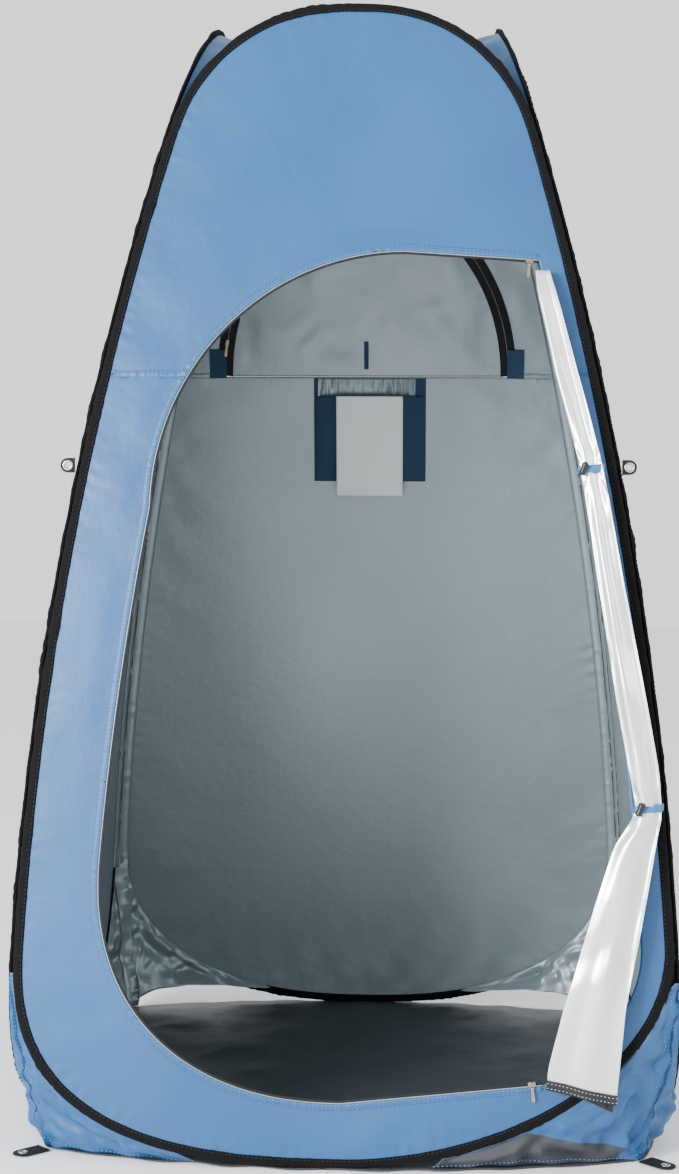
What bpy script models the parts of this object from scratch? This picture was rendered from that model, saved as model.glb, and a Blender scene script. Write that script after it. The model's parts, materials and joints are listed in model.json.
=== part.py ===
"""Pop-up privacy shower tent.

Four sprung wire hoops stand in fabric sleeves, one round each wall. The walls lean in towards the
top, the sleeves meet along four upright corner lines, and a groundsheet, four corner gussets and a
roof close the shape. The front wall has a D-shaped doorway with its zipped door gathered at one
side, and the back wall has an arched zipped window, a pocket and a sewn-in label.

Metres, +Z up. The front faces -Y and the origin is on the ground, in the middle of the plan.
A point of a wall is given as (across, up), with out as the distance in front of its outer face.
"""
import math

import bmesh
import bpy
from mathutils import Matrix, Vector

# ---- overall shape ----
HEIGHT = 1.90
BASE_HALF_WIDTH = 0.538
TOP_HALF_WIDTH = 0.245
BASE_HALF_DEPTH = 0.550
TOP_HALF_DEPTH = 0.250
FOOT_RISE = 0.36          # height at which a hoop's foot starts to turn under
ARCH_DROP = 0.24          # depth of a hoop's arch below the top
ARCH_POWER = 2.5          # 2 is an ellipse, more is squarer
FOOT_POWER = 2.4
FRONT_LEFT_FOOT_POWER = 2.7
FRONT_RIGHT_FOOT_POWER = 1.9
FLOOR_CORNER_INSET_X = 0.053
FLOOR_CORNER_INSET_Y = 0.080
ROOF_DIP = 0.045          # the roof's middle, below the top
FRONT_SEAM_DROP = 0.635   # seam between the upper and lower panels, below the top
BACK_SEAM_DROP = 0.590
SIDE_SEAM_DROP = 0.610

# ---- cloth, sleeves and wire ----
CLOTH = 0.0010
FLOOR_CLOTH = 0.0012
WEBBING = 0.0016
GAP = 0.0005
WIRE_RADIUS = 0.0016
SLEEVE_WIDTH = 0.016      # across the binding, in the wall
SLEEVE_DEPTH = 0.007
SLEEVE_WALL = 0.0011
SLEEVE_GAP = 0.0007       # between two sleeves that meet along a corner line
SLEEVE_RIDGE = 0.0020     # from its outer ridge to where it has its full depth
SLEEVE_LIP = 0.0025       # the same at its inner edge
SLIT_HALF = 0.0012        # half the slit that the cloth's edge enters
CLOTH_GRIP = 0.004        # how far the cloth's edge enters the sleeve
SEAM_GAP = 0.0010

# ---- door ----
DOOR_HEAD = 0.431         # from the top of the tent to the top of the doorway
DOOR_SILL = 0.106
DOOR_EDGE = 0.130         # cloth between the hoop line and the doorway, zipped side
DOOR_HINGE_EDGE = 0.045   # the same on the hinge side
DOOR_FOOT = 0.50          # where the doorway's lower corner starts
DOOR_FOOT_POWER = 2.3
DOOR_SHOULDER = 0.42      # height of the doorway's upper corner
DOOR_CROWN = 0.09         # how far right of the middle that corner ends
DOOR_HEAD_FALL = 0.015    # the head's fall towards the hinge side
DOOR_SILL_RISE = 0.035
DOOR_HINGE_Z = 0.85       # the door's straight hinge axis touches the curved edge here
DOOR_HINGE_INSET = 0.010
FLAP_STANDOFF = 0.0075    # from the wall to the back of the gathered flap
TIE_WIDTH = 0.012
TIE_CLOTH = 0.0012
TIE_SLACK = 0.0012
UPPER_TIE = 0.740         # as shares of the doorway's height
LOWER_TIE = 0.335
TOGGLE_RADIUS = 0.006
TOGGLE_TILT = 20.0
TOGGLE_PLACE = 0.7        # share of the bundle's half width, to its left
TOGGLE_PROFILE = [(0.003, -0.011), (0.006, -0.008), (0.0045, 0.0), (0.006, 0.008), (0.003, 0.011)]
HEM_TAPE_WIDTH = 0.012
HEM_TAPE_DEPTH = 0.004
FLAP_SIDES = 12
FLAP_POWER = 2.5          # 2 is an oval bundle, more is squarer
# share of the doorway's height, inset from the hoop line, half width, half depth
FLAP_STATIONS = [
    (0.000, 0.158, 0.054, 0.009),
    (0.015, 0.157, 0.055, 0.012),
    (0.100, 0.135, 0.047, 0.014),
    (0.220, 0.088, 0.039, 0.015),
    (0.290, 0.058, 0.032, 0.013),
    (0.329, 0.031, 0.020, 0.010),
    (0.341, 0.031, 0.020, 0.010),
    (0.380, 0.033, 0.023, 0.012),
    (0.470, 0.041, 0.023, 0.013),
    (0.600, 0.047, 0.020, 0.012),
    (0.734, 0.047, 0.018, 0.009),
    (0.746, 0.047, 0.018, 0.009),
    (0.860, 0.057, 0.018, 0.010),
    (0.960, 0.060, 0.015, 0.009),
    (0.985, 0.058, 0.011, 0.006),
]

# ---- zips ----
TAPE_WIDTH = 0.012
TAPE_CLOTH = 0.0014
TAPE_OVERHANG = 0.005     # tape past the edge of the cloth
TAPE_STANDOFF = 0.0009
UPPER_SLIDER_AT = 0.014   # along the tape from its hinge-side end
LOWER_SLIDER_AT = 0.014
SLIDER_LENGTH = 0.012
SLIDER_HALF = 0.0026
SLIDER_SPINE = 0.0015
SLIDER_SLOT_HALF = 0.0011
BAIL_HALF = 0.003
BAIL_RISE = 0.0032
BAIL_BAR = 0.001
PULL_LENGTH = 0.028
PULL_WIDTH = 0.0064
PULL_CLOTH = 0.0012
PULL_BAR = 0.0006
PULL_EYE = 0.005
PULL_WAIST = 0.6          # its width at three places, as shares of PULL_WIDTH
PULL_SHOULDER = 0.9
PULL_TIP = 0.5
DOOR_HEAD_SIDE = (-1, 90)  # which side of the tape its cloth is on, and the way its pull hangs
DOOR_SILL_SIDE = (1, 90)
WINDOW_SIDE = (-1, 180)

# ---- window, pocket, label ----
WINDOW_HALF = 0.285
WINDOW_RISE = 0.345
WINDOW_SILL = 0.005       # from the hinge axis to the flap's lower edge
WINDOW_TAPE = 0.014
WINDOW_TAPE_START = 0.014
WINDOW_STEPS = 12
WINDOW_SLIDER_AT = 0.052
WINDOW_TIE_WIDTH = 0.007
WINDOW_TIE_LENGTH = 0.068
HALVES_GAP = 0.003        # between the two halves of the window's zip
PATCH_WIDTH = 0.034
PATCH_HEIGHT = 0.052
POCKET_HALF = 0.113
POCKET_SHIFT = -0.007
POCKET_DROP = 0.210
POCKET_DEPTH = 0.022
POCKET_CLOTH = 0.0012
HEADER_DROP = 0.040
HEADER_DEPTH = 0.006
LABEL_HALF = 0.067
LABEL_HEIGHT = 0.200
LABEL_STANDOFF = 0.0015

# ---- ground ----
FLOOR_LIP = 0.004
FLOOR_STEPS = 5
FLOOR_BOW_POWER = 0.8      # 1 is a cosine bow between two corners, less is fuller
GUSSET_LOW = 0.028
GUSSET_TOP_DROP = 0.055
GUSSET_FOOT_SHARE = 0.97
ROOF_START = 0.035
ROOF_SAG = 0.012
ROOF_CORNER_TUCK = 0.0072  # from the corner line to the roof's lowest points

# ---- tabs ----
PEG_TAB_LENGTH = 0.058
PEG_TAB_WIDTH = 0.034
GUY_TAB_LENGTH = 0.024
GUY_TAB_WIDTH = 0.024
GUY_TAB_Z = 1.115
PEG_TAB_GAP = 0.004
PEG_TAB_LIFT = 0.0012
TAB_END_STEPS = 8
EYELET_HOLE = 0.0045
EYELET_BARREL = 0.0057
EYELET_FLANGE = 0.0085
EYELET_RIM = 0.0008

# ---- how finely curves are cut ----
FOOT_STEPS = 8
LOWER_STEP = 0.20         # most height between two levels of a wall's lower panel
UPPER_STEP = 0.14         # the same in its upper panel
ARCH_STEPS = 6
SILL_STEPS = 3
TOGGLE_SIDES = 10
EYELET_SIDES = 12
WIRE_SIDES = 6
SHARP_ANGLE = 35
LEAST_BEND = 0.5          # cosine that keeps an offset line's corners from running far out

SLEEVE_HALF = SLEEVE_WIDTH / 2
SLEEVE_INSET = SLEEVE_HALF + SLEEVE_DEPTH / 2 + SLEEVE_GAP
FLOOR_TOP = FLOOR_CLOTH + GAP
FOOT_Z = FLOOR_TOP + SLEEVE_HALF
ARCH_Z = HEIGHT - SLEEVE_HALF

MATERIALS = {
    "shell_cloth": ((0.19, 0.42, 0.66), 0.62, 0.0),
    "lining_cloth": ((0.52, 0.56, 0.58), 0.38, 0.1),
    "binding": ((0.035, 0.032, 0.034), 0.80, 0.0),
    "spring_steel": ((0.50, 0.50, 0.52), 0.30, 1.0),
    "floor_cloth": ((0.045, 0.055, 0.070), 0.55, 0.0),
    "zip_tape": ((0.020, 0.020, 0.022), 0.75, 0.0),
    "zip_metal": ((0.72, 0.66, 0.55), 0.28, 1.0),
    "navy_mesh": ((0.025, 0.060, 0.120), 0.70, 0.0),
    "label_cloth": ((0.80, 0.82, 0.84), 0.60, 0.0),
    "webbing": ((0.020, 0.020, 0.022), 0.85, 0.0),
    "eyelet_metal": ((0.60, 0.60, 0.60), 0.30, 1.0),
    "toggle_plastic": ((0.018, 0.018, 0.020), 0.40, 0.0),
}


def parabola(base, top, up):
    return base - (base - top) * (up / HEIGHT) ** 2


class Wall:
    """One wall: its distance from the middle, its half width and its seam, each at a height."""

    def __init__(self, name, degrees, reach, half, seam_drop, powers):
        self.name = name
        self.turn = Matrix.Rotation(math.radians(degrees), 3, "Z")
        self.reach_sizes = reach
        self.half_sizes = half
        self.seam = HEIGHT - seam_drop
        self.powers = powers

    def reach(self, up):
        return parabola(*self.reach_sizes, up)

    def half(self, up):
        return parabola(*self.half_sizes, up)

    def place(self, across, up, out=0.0):
        return self.turn @ Vector((across, -self.reach(up) - out, up))


WIDTHS = (BASE_HALF_WIDTH, TOP_HALF_WIDTH)
DEPTHS = (BASE_HALF_DEPTH, TOP_HALF_DEPTH)
EVEN = (FOOT_POWER, FOOT_POWER)
FRONT = Wall("front", 0, DEPTHS, WIDTHS, FRONT_SEAM_DROP, (FRONT_LEFT_FOOT_POWER, FRONT_RIGHT_FOOT_POWER))
RIGHT = Wall("right", 90, WIDTHS, DEPTHS, SIDE_SEAM_DROP, EVEN)
BACK = Wall("back", 180, DEPTHS, WIDTHS, BACK_SEAM_DROP, EVEN)
LEFT = Wall("left", 270, WIDTHS, DEPTHS, SIDE_SEAM_DROP, EVEN)
WALLS = (FRONT, RIGHT, BACK, LEFT)


# ---- small tools ----
def material(name):
    found = bpy.data.materials.get(name)
    if found:
        return found
    colour, roughness, metallic = MATERIALS[name]
    made = bpy.data.materials.new(name)
    made.use_nodes = True
    shader = made.node_tree.nodes["Principled BSDF"]
    shader.inputs["Base Color"].default_value = (*colour, 1.0)
    shader.inputs["Roughness"].default_value = roughness
    shader.inputs["Metallic"].default_value = metallic
    made.diffuse_color = (*colour, 1.0)
    return made


def add_object(name, bm, finish):
    """Puts a finished mesh in the scene as one named object."""
    bmesh.ops.recalc_face_normals(bm, faces=bm.faces)
    mesh = bpy.data.meshes.new(name)
    bm.to_mesh(mesh)
    bm.free()
    mesh.materials.append(material(finish))
    mesh.shade_smooth()
    mesh.set_sharp_from_angle(angle=math.radians(SHARP_ANGLE))
    made = bpy.data.objects.new(name, mesh)
    bpy.context.scene.collection.objects.link(made)
    return made


def boolean(target, cutter, operation):
    """Cuts or joins the cutter, which is then only a guide."""
    cutter.hide_render = True
    cutter.display_type = "WIRE"
    modifier = target.modifiers.new(cutter.name, "BOOLEAN")
    modifier.operation = operation
    modifier.object = cutter


def pivot(name, point, pieces):
    """An empty on a joint's axis, with the pieces that turn or slide there under it."""
    empty = bpy.data.objects.new(name, None)
    empty.empty_display_size = 0.03
    empty.location = point
    bpy.context.scene.collection.objects.link(empty)
    for piece in pieces:
        piece.parent = empty
        piece.matrix_parent_inverse = Matrix.Translation(point).inverted()


def offset_line(points, distance, closed):
    """The points moved sideways in their plane, outward on an anticlockwise loop."""
    count = len(points)
    moved = []
    for i, point in enumerate(points):
        here = Vector(point)
        before = Vector(points[(i - 1) % count])
        after = Vector(points[(i + 1) % count])
        if not closed and i == 0:
            before = here * 2 - after
        if not closed and i == count - 1:
            after = here * 2 - before
        first = (here - before).normalized()
        second = (after - here).normalized()
        way = (first + second).normalized()
        stretch = 1.0 / max(way.dot(second), LEAST_BEND)
        side = Vector((way.y, -way.x))
        moved.append(tuple(here + side * distance * stretch))
    return moved


def bridge(bm, rings, closed_rings, closed_line):
    """Faces between neighbouring rings of the same number of points."""
    count = len(rings)
    sides = len(rings[0])
    for i in range(count if closed_line else count - 1):
        ring, following = rings[i], rings[(i + 1) % count]
        for j in range(sides if closed_rings else sides - 1):
            k = (j + 1) % sides
            bm.faces.new((ring[j], ring[k], following[k], following[j]))


def sweep(name, wall, line, section, finish, closed=False):
    """A section of (outward, out) points carried along a line in a wall."""
    bm = bmesh.new()
    offsets = [offset_line(line, outward, closed) for outward, _ in section]
    rings = []
    for i in range(len(line)):
        spots = [wall.place(*offsets[j][i], section[j][1]) for j in range(len(section))]
        rings.append([bm.verts.new(spot) for spot in spots])
    bridge(bm, rings, True, closed)
    if not closed:
        bm.faces.new(rings[0])
        bm.faces.new(list(reversed(rings[-1])))
    return add_object(name, bm, finish)


def loft(name, rings, finish):
    """A closed solid through rings of points, with flat ends."""
    bm = bmesh.new()
    made = [[bm.verts.new(spot) for spot in ring] for ring in rings]
    bridge(bm, made, True, False)
    bm.faces.new(made[0])
    bm.faces.new(list(reversed(made[-1])))
    return add_object(name, bm, finish)


def sheet(name, loops, to_space, finish, thickness=CLOTH, levels=(), low=None, high=None):
    """Cloth of one thickness: a flat outline with holes, cut at levels and bent into place."""
    bm = bmesh.new()
    edges = []
    for loop in loops:
        corners = [bm.verts.new((across, up, 0)) for across, up in loop]
        for i, corner in enumerate(corners):
            edges.append(bm.edges.new((corners[i - 1], corner)))
    bmesh.ops.triangle_fill(bm, edges=edges, use_beauty=True)

    def cut(level, below=False, above=False):
        everything = bm.verts[:] + bm.edges[:] + bm.faces[:]
        bmesh.ops.bisect_plane(bm, geom=everything, dist=1e-6, plane_co=(0, level, 0),
                               plane_no=(0, 1, 0), clear_inner=below, clear_outer=above)

    if low is not None:
        cut(low, below=True)
    if high is not None:
        cut(high, above=True)
    for level in levels:
        cut(level)
    for corner in bm.verts:
        corner.co = to_space(corner.co.x, corner.co.y)
    made = add_object(name, bm, finish)
    modifier = made.modifiers.new("cloth", "SOLIDIFY")
    modifier.thickness = thickness
    modifier.offset = 0.0
    return made


def curved_block(name, wall, across, ups, outs, finish):
    """A block on a wall that follows its curve, between two values across and two out."""
    rings = []
    for up in ups:
        rings.append([
            wall.place(across[0], up, outs[0]),
            wall.place(across[1], up, outs[0]),
            wall.place(across[1], up, outs[1]),
            wall.place(across[0], up, outs[1]),
        ])
    return loft(name, rings, finish)


def frame_at(wall, across, up, out, way):
    """A frame on a wall: X along the way given in the wall, Z straight out of its face."""
    step = 0.001
    origin = wall.place(across, up, out)
    x_axis = wall.place(across + way[0] * step, up + way[1] * step, out) - origin
    side = wall.place(across - way[1] * step, up + way[0] * step, out) - origin
    x_axis.normalize()
    z_axis = side.cross(x_axis).normalized() * -1.0
    if z_axis.dot(wall.turn @ Vector((0, -1, 0))) < 0:
        z_axis.negate()
    y_axis = z_axis.cross(x_axis)
    axes = Matrix((x_axis, y_axis, z_axis)).transposed().to_4x4()
    return Matrix.Translation(origin) @ axes


def prism(name, outlines, low, high, frame, finish):
    """Flat outlines in a frame's XY plane, filled and raised from low to high along its Z."""
    bm = bmesh.new()
    edges = []
    for outline in outlines:
        corners = [bm.verts.new((x, y, low)) for x, y in outline]
        for i, corner in enumerate(corners):
            edges.append(bm.edges.new((corners[i - 1], corner)))
    bmesh.ops.triangle_fill(bm, edges=edges, use_beauty=True)
    raised = bmesh.ops.extrude_face_region(bm, geom=bm.faces[:])
    tops = [item for item in raised["geom"] if isinstance(item, bmesh.types.BMVert)]
    bmesh.ops.translate(bm, vec=(0, 0, high - low), verts=tops)
    bmesh.ops.transform(bm, matrix=frame, verts=bm.verts)
    return add_object(name, bm, finish)


def circle(radius, sides, middle=(0.0, 0.0)):
    turns = [math.tau * i / sides for i in range(sides)]
    return [(middle[0] + radius * math.cos(t), middle[1] + radius * math.sin(t)) for t in turns]


def rectangle(x0, x1, y0, y1):
    return [(x0, y0), (x1, y0), (x1, y1), (x0, y1)]


LENGTHWAYS = Matrix(((0, 0, 1, 0), (1, 0, 0, 0), (0, 1, 0, 0), (0, 0, 0, 1)))
STANDING = Matrix(((1, 0, 0, 0), (0, 0, -1, 0), (0, 1, 0, 0), (0, 0, 0, 1)))


# ---- hoops ----
def power_arc(power, steps):
    """(cosine, sine) pairs of a quarter of a squared-off circle, from its start to its end."""
    pairs = []
    for i in range(steps + 1):
        angle = math.pi / 2 * i / steps
        cosine = max(math.cos(angle), 0.0) if i < steps else 0.0
        pairs.append((cosine ** (2 / power), math.sin(angle) ** (2 / power)))
    return pairs


def even_levels(low, high, most):
    """Heights from low up to just under high, no further apart than the most."""
    count = math.ceil((high - low) / most)
    return [low + (high - low) * i / count for i in range(count)]


def side_levels(wall):
    """Heights of a hoop's corners along its upright run. One of them is the wall's seam."""
    shoulder = HEIGHT - ARCH_DROP
    lower = even_levels(FOOT_RISE, wall.seam, LOWER_STEP)
    upper = even_levels(wall.seam, shoulder, UPPER_STEP)
    return lower + upper + [shoulder]


def half_hoop(wall, power):
    """One side of a hoop's line, from the middle of its foot up to the middle of its arch."""
    shoulder = HEIGHT - ARCH_DROP
    points = []
    for cosine, sine in power_arc(power, FOOT_STEPS):
        up = FOOT_RISE - (FOOT_RISE - FOOT_Z) * cosine
        points.append(((wall.half(up) - SLEEVE_INSET) * sine, up))
    for up in side_levels(wall)[1:]:
        points.append((wall.half(up) - SLEEVE_INSET, up))
    for cosine, sine in power_arc(ARCH_POWER, ARCH_STEPS)[1:]:
        up = shoulder + (ARCH_Z - shoulder) * sine
        points.append(((wall.half(up) - SLEEVE_INSET) * cosine, up))
    return points


def hoop_line(wall):
    """A hoop's whole line, anticlockwise seen from outside, from the middle of its foot."""
    left_power, right_power = wall.powers
    right = half_hoop(wall, right_power)
    left = half_hoop(wall, left_power)
    return right + [(-across, up) for across, up in reversed(left[1:-1])]


def levels_of(wall):
    """The heights at which a wall's cloth is cut, which are its hoop's own corners."""
    ups = [up for _, up in half_hoop(wall, FOOT_POWER)]
    cuts = ups[FOOT_STEPS // 2:-(ARCH_STEPS // 2)]
    return [up for up in cuts if abs(up - wall.seam) > SEAM_GAP]


def make_hoop(wall):
    half = SLEEVE_HALF
    deep = SLEEVE_DEPTH / 2
    inner = deep - SLEEVE_WALL
    crown = half - SLEEVE_RIDGE
    lip = half - SLEEVE_LIP
    section = [
        (-half, SLIT_HALF + SLEEVE_WALL), (-lip, deep), (crown, deep), (half, 0.0), (crown, -deep),
        (-lip, -deep), (-half, -SLIT_HALF - SLEEVE_WALL), (-half, -SLIT_HALF), (-lip, -inner),
        (crown, -inner), (crown, inner), (-lip, inner), (-half, SLIT_HALF),
    ]
    line = hoop_line(wall)
    sweep(f"{wall.name}_hoop_sleeve", wall, line, section, "binding", closed=True)
    wire_at = crown - WIRE_RADIUS - GAP
    wire = circle(WIRE_RADIUS, WIRE_SIDES, (wire_at, 0.0))
    sweep(f"{wall.name}_hoop_wire", wall, line, wire, "spring_steel", closed=True)


def wall_outline(wall):
    return offset_line(hoop_line(wall), CLOTH_GRIP - SLEEVE_HALF, True)


# ---- doorway ----
DOOR_TOP = HEIGHT - DOOR_HEAD
SILL_END_Z = DOOR_SILL + DOOR_SILL_RISE
HEAD_END_Z = DOOR_TOP - DOOR_HEAD_FALL


def hinge_edge():
    """The doorway's plain edge, which keeps its distance from the hoop, from the sill to the head."""
    near = offset_line(half_hoop(FRONT, FRONT_RIGHT_FOOT_POWER), -DOOR_HINGE_EDGE, False)
    points = []
    for (x0, z0), (x1, z1) in zip(near, near[1:]):
        for end in (SILL_END_Z, HEAD_END_Z):
            if z0 < end <= z1:
                points.append((x0 + (x1 - x0) * (end - z0) / (z1 - z0), end))
        if SILL_END_Z < z1 < HEAD_END_Z:
            points.append((x1, z1))
    return sorted(points, key=lambda point: point[1])


def zipped_edge():
    """The doorway's zipped edge, from the hinge end of its sill round to the hinge end of its head."""
    shoulder = DOOR_TOP - DOOR_SHOULDER
    sill_end = hinge_edge()[0]
    points = []
    for i in range(SILL_STEPS):
        share = 1 - i / SILL_STEPS
        points.append((sill_end[0] * share, DOOR_SILL + DOOR_SILL_RISE * share))
    for cosine, sine in power_arc(DOOR_FOOT_POWER, FOOT_STEPS):
        up = DOOR_FOOT - (DOOR_FOOT - DOOR_SILL) * cosine
        points.append(((DOOR_EDGE - FRONT.half(up)) * sine, up))
    for up in side_levels(FRONT):
        if DOOR_FOOT + SLEEVE_WIDTH < up < shoulder - SLEEVE_WIDTH:
            points.append((DOOR_EDGE - FRONT.half(up), up))
    reach = DOOR_CROWN + FRONT.half(shoulder) - DOOR_EDGE
    for cosine, sine in power_arc(2, FOOT_STEPS):
        points.append((DOOR_CROWN - reach * cosine, shoulder + DOOR_SHOULDER * sine))
    points.append(hinge_edge()[-1])
    return points


def doorway():
    """The whole doorway, clockwise: its zipped edge and its plain edge on the hinge side."""
    return zipped_edge() + list(reversed(hinge_edge()[1:-1]))


def make_walls():
    openings = {"front": [doorway()], "back": [window_hole()]}
    for wall in WALLS:
        loops = [wall_outline(wall)] + openings.get(wall.name, [])
        finish = "shell_cloth"
        levels = levels_of(wall)
        sheet(f"{wall.name}_lower_panel", loops, wall.place, finish,
              levels=levels, high=wall.seam - SEAM_GAP / 2)
        sheet(f"{wall.name}_upper_panel", loops, wall.place, finish,
              levels=levels, low=wall.seam + SEAM_GAP / 2)


# ---- zips ----
TAPE_MIDDLE = CLOTH / 2 + TAPE_STANDOFF + TAPE_CLOTH / 2


def tape_section(inner, outer, side):
    """A flat tape from inner to outer across its line, on the outside (1) or inside (-1) of a wall."""
    near = side * (TAPE_MIDDLE - TAPE_CLOTH / 2)
    far = side * (TAPE_MIDDLE + TAPE_CLOTH / 2)
    return [(inner, near), (outer, near), (outer, far), (inner, far)]


def make_slider(name, frame, towards_cloth):
    """A zip slider that wraps the tape's free edge. The frame's X runs along the tape."""
    back = -towards_cloth * (SLIDER_SPINE + GAP)
    slot = -towards_cloth * GAP
    arm = towards_cloth * (TAPE_OVERHANG - 2 * GAP)
    profile = [
        (back, -SLIDER_HALF), (arm, -SLIDER_HALF), (arm, -SLIDER_SLOT_HALF), (slot, -SLIDER_SLOT_HALF),
        (slot, SLIDER_SLOT_HALF), (arm, SLIDER_SLOT_HALF), (arm, SLIDER_HALF), (back, SLIDER_HALF),
    ]
    half = SLIDER_LENGTH / 2
    body = prism(name, [profile], -half, half, frame @ LENGTHWAYS, "zip_metal")
    return body, (arm + back) / 2


def add_bail(body, pull_frame):
    """The arch on a slider that its pull hangs from. The frame's X is the way the pull lies."""
    window = BAIL_HALF - BAIL_BAR
    arch = [
        (-BAIL_HALF, -GAP), (-window, -GAP), (-window, BAIL_RISE - BAIL_BAR), (window, BAIL_RISE - BAIL_BAR),
        (window, -GAP), (BAIL_HALF, -GAP), (BAIL_HALF, BAIL_RISE), (-BAIL_HALF, BAIL_RISE),
    ]
    bail = prism(body.name + "_bail", [arch], -BAIL_BAR, BAIL_BAR, pull_frame @ STANDING, "zip_metal")
    boolean(body, bail, "UNION")


def make_pull(name, pull_frame):
    """A flat tapered tab whose end bar lies under the slider's bail."""
    low = (BAIL_RISE - BAIL_BAR - PULL_CLOTH) / 2
    wide = PULL_WIDTH / 2
    eye = rectangle(PULL_BAR, PULL_EYE, -BAIL_BAR - GAP, BAIL_BAR + GAP)
    half_outline = [
        (-PULL_BAR, wide), (PULL_EYE, wide), (PULL_EYE + wide, wide * PULL_WAIST),
        (PULL_LENGTH - wide, wide * PULL_SHOULDER), (PULL_LENGTH, wide * PULL_TIP),
    ]
    outline = half_outline + [(x, -y) for x, y in reversed(half_outline)]
    return prism(name, [outline, eye], low, low + PULL_CLOTH, pull_frame, "zip_metal")


def zip_slider(name, wall, spot, way, side, towards_cloth, pull_degrees):
    """A slider and pull on a wall's tape, each under an empty on its own joint's axis."""
    frame = frame_at(wall, *spot, side * TAPE_MIDDLE, way)
    if side < 0:
        frame = frame @ Matrix.Rotation(math.pi, 4, "X")
        towards_cloth = -towards_cloth
    body, middle = make_slider(name + "_slider", frame, towards_cloth)
    turn = Matrix.Rotation(math.radians(pull_degrees), 4, "Z")
    pull_frame = frame @ Matrix.Translation((0, middle, SLIDER_HALF)) @ turn
    add_bail(body, pull_frame)
    pull = make_pull(name + "_pull", pull_frame)
    pivot(name + "_slider_travel", frame.translation, [body])
    pivot(name + "_pull_hinge", pull_frame @ Vector((0, 0, (BAIL_RISE - BAIL_BAR) / 2)), [pull])


def along(points, distance):
    """The point a distance along a line of points, and the way the line runs there."""
    for here, beyond in zip(points, points[1:]):
        step = Vector(beyond) - Vector(here)
        if distance <= step.length:
            way = step.normalized()
            return tuple(Vector(here) + way * distance), tuple(way)
        distance -= step.length
    return points[-1], tuple(way)


def make_door_zip():
    """The door's fixed half of the zip, round the doorway, with its two sliders."""
    from_sill = zipped_edge()
    section = tape_section(TAPE_OVERHANG - TAPE_WIDTH, TAPE_OVERHANG, 1)
    sweep("door_zip_tape", FRONT, from_sill, section, "zip_tape")
    free_edge = offset_line(from_sill, TAPE_OVERHANG, False)
    spot, way = along(list(reversed(free_edge)), UPPER_SLIDER_AT)
    zip_slider("door_upper", FRONT, spot, way, 1, *DOOR_HEAD_SIDE)
    spot, way = along(free_edge, LOWER_SLIDER_AT)
    zip_slider("door_lower", FRONT, spot, way, 1, *DOOR_SILL_SIDE)


# ---- gathered door ----
def ring_at(up, middle, half_across, half_out, out):
    """A squared-off oval in the front wall's level plane, anticlockwise seen from above."""
    spots = []
    for i in range(FLAP_SIDES):
        turn = math.tau * i / FLAP_SIDES
        cosine, sine = math.cos(turn), math.sin(turn)
        across = math.copysign(abs(cosine) ** (2 / FLAP_POWER), cosine) * half_across
        deep = math.copysign(abs(sine) ** (2 / FLAP_POWER), sine) * half_out
        spots.append(FRONT.place(middle + across, up, out - deep))
    return spots


def flap_section(share):
    """The gathered door at a share of the doorway's height: middle, half width and half depth."""
    stations = FLAP_STATIONS
    for low, high in zip(stations, stations[1:]):
        if low[0] <= share <= high[0]:
            mix = (share - low[0]) / (high[0] - low[0])
            inset, half_across, half_out = (a + (b - a) * mix for a, b in zip(low[1:], high[1:]))
            break
    up = door_height(share)
    return up, FRONT.half(up) - inset, half_across, half_out


def door_height(share):
    return SILL_END_Z + (HEAD_END_Z - SILL_END_Z) * share


def make_door():
    """The door, gathered to its hinge side, with its ties and the zip's other half along its hem."""
    rings = []
    for share, *_ in FLAP_STATIONS:
        up, middle, half_across, half_out = flap_section(share)
        rings.append(ring_at(up, middle, half_across, half_out, FLAP_STANDOFF + half_out))
    pieces = [loft("door_flap", rings, "lining_cloth")]
    for name, share in (("door_tie_upper", UPPER_TIE), ("door_tie_lower", LOWER_TIE)):
        pieces += make_tie(name, share)
    pieces.append(make_hem_tape())
    pivot("door_hinge", door_axis_point(DOOR_HINGE_Z), pieces)


def door_axis_point(up):
    """A point of the door's straight hinge axis, which touches the wall's curve at one height."""
    base = DOOR_HINGE_Z
    step = 0.001
    slope = (FRONT.half(base + step) - FRONT.half(base - step)) / (2 * step)
    lean = (FRONT.reach(base + step) - FRONT.reach(base - step)) / (2 * step)
    across = FRONT.half(base) - DOOR_HINGE_INSET + slope * (up - base)
    return Vector((across, -FRONT.reach(base) - FLAP_STANDOFF - lean * (up - base), up))


def make_tie(name, share):
    """A cloth strap round the gathered door and the toggle that closes it."""
    up, middle, half_across, half_out = flap_section(share)
    out = FLAP_STANDOFF + half_out
    low, high = up - TIE_WIDTH / 2, up + TIE_WIDTH / 2
    inner = (half_across + TIE_SLACK, half_out + GAP)
    outer = (inner[0] + TIE_CLOTH, inner[1] + TIE_CLOTH)
    loops = [(low, outer), (high, outer), (high, inner), (low, inner)]
    bm = bmesh.new()
    rings = []
    for level, (across, deep) in loops:
        rings.append([bm.verts.new(spot) for spot in ring_at(level, middle, across, deep, out)])
    bridge(bm, rings, True, True)
    strap = add_object(name, bm, "shell_cloth")
    front = out + half_out + GAP + TIE_CLOTH + GAP + TOGGLE_RADIUS
    at = FRONT.place(middle - half_across * TOGGLE_PLACE, up, front)
    frame = Matrix.Translation(at) @ Matrix.Rotation(math.radians(TOGGLE_TILT), 4, "Y")
    toggle = turned(name.replace("tie", "toggle"), TOGGLE_PROFILE, TOGGLE_SIDES, frame, "toggle_plastic")
    return [strap, toggle]


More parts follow.
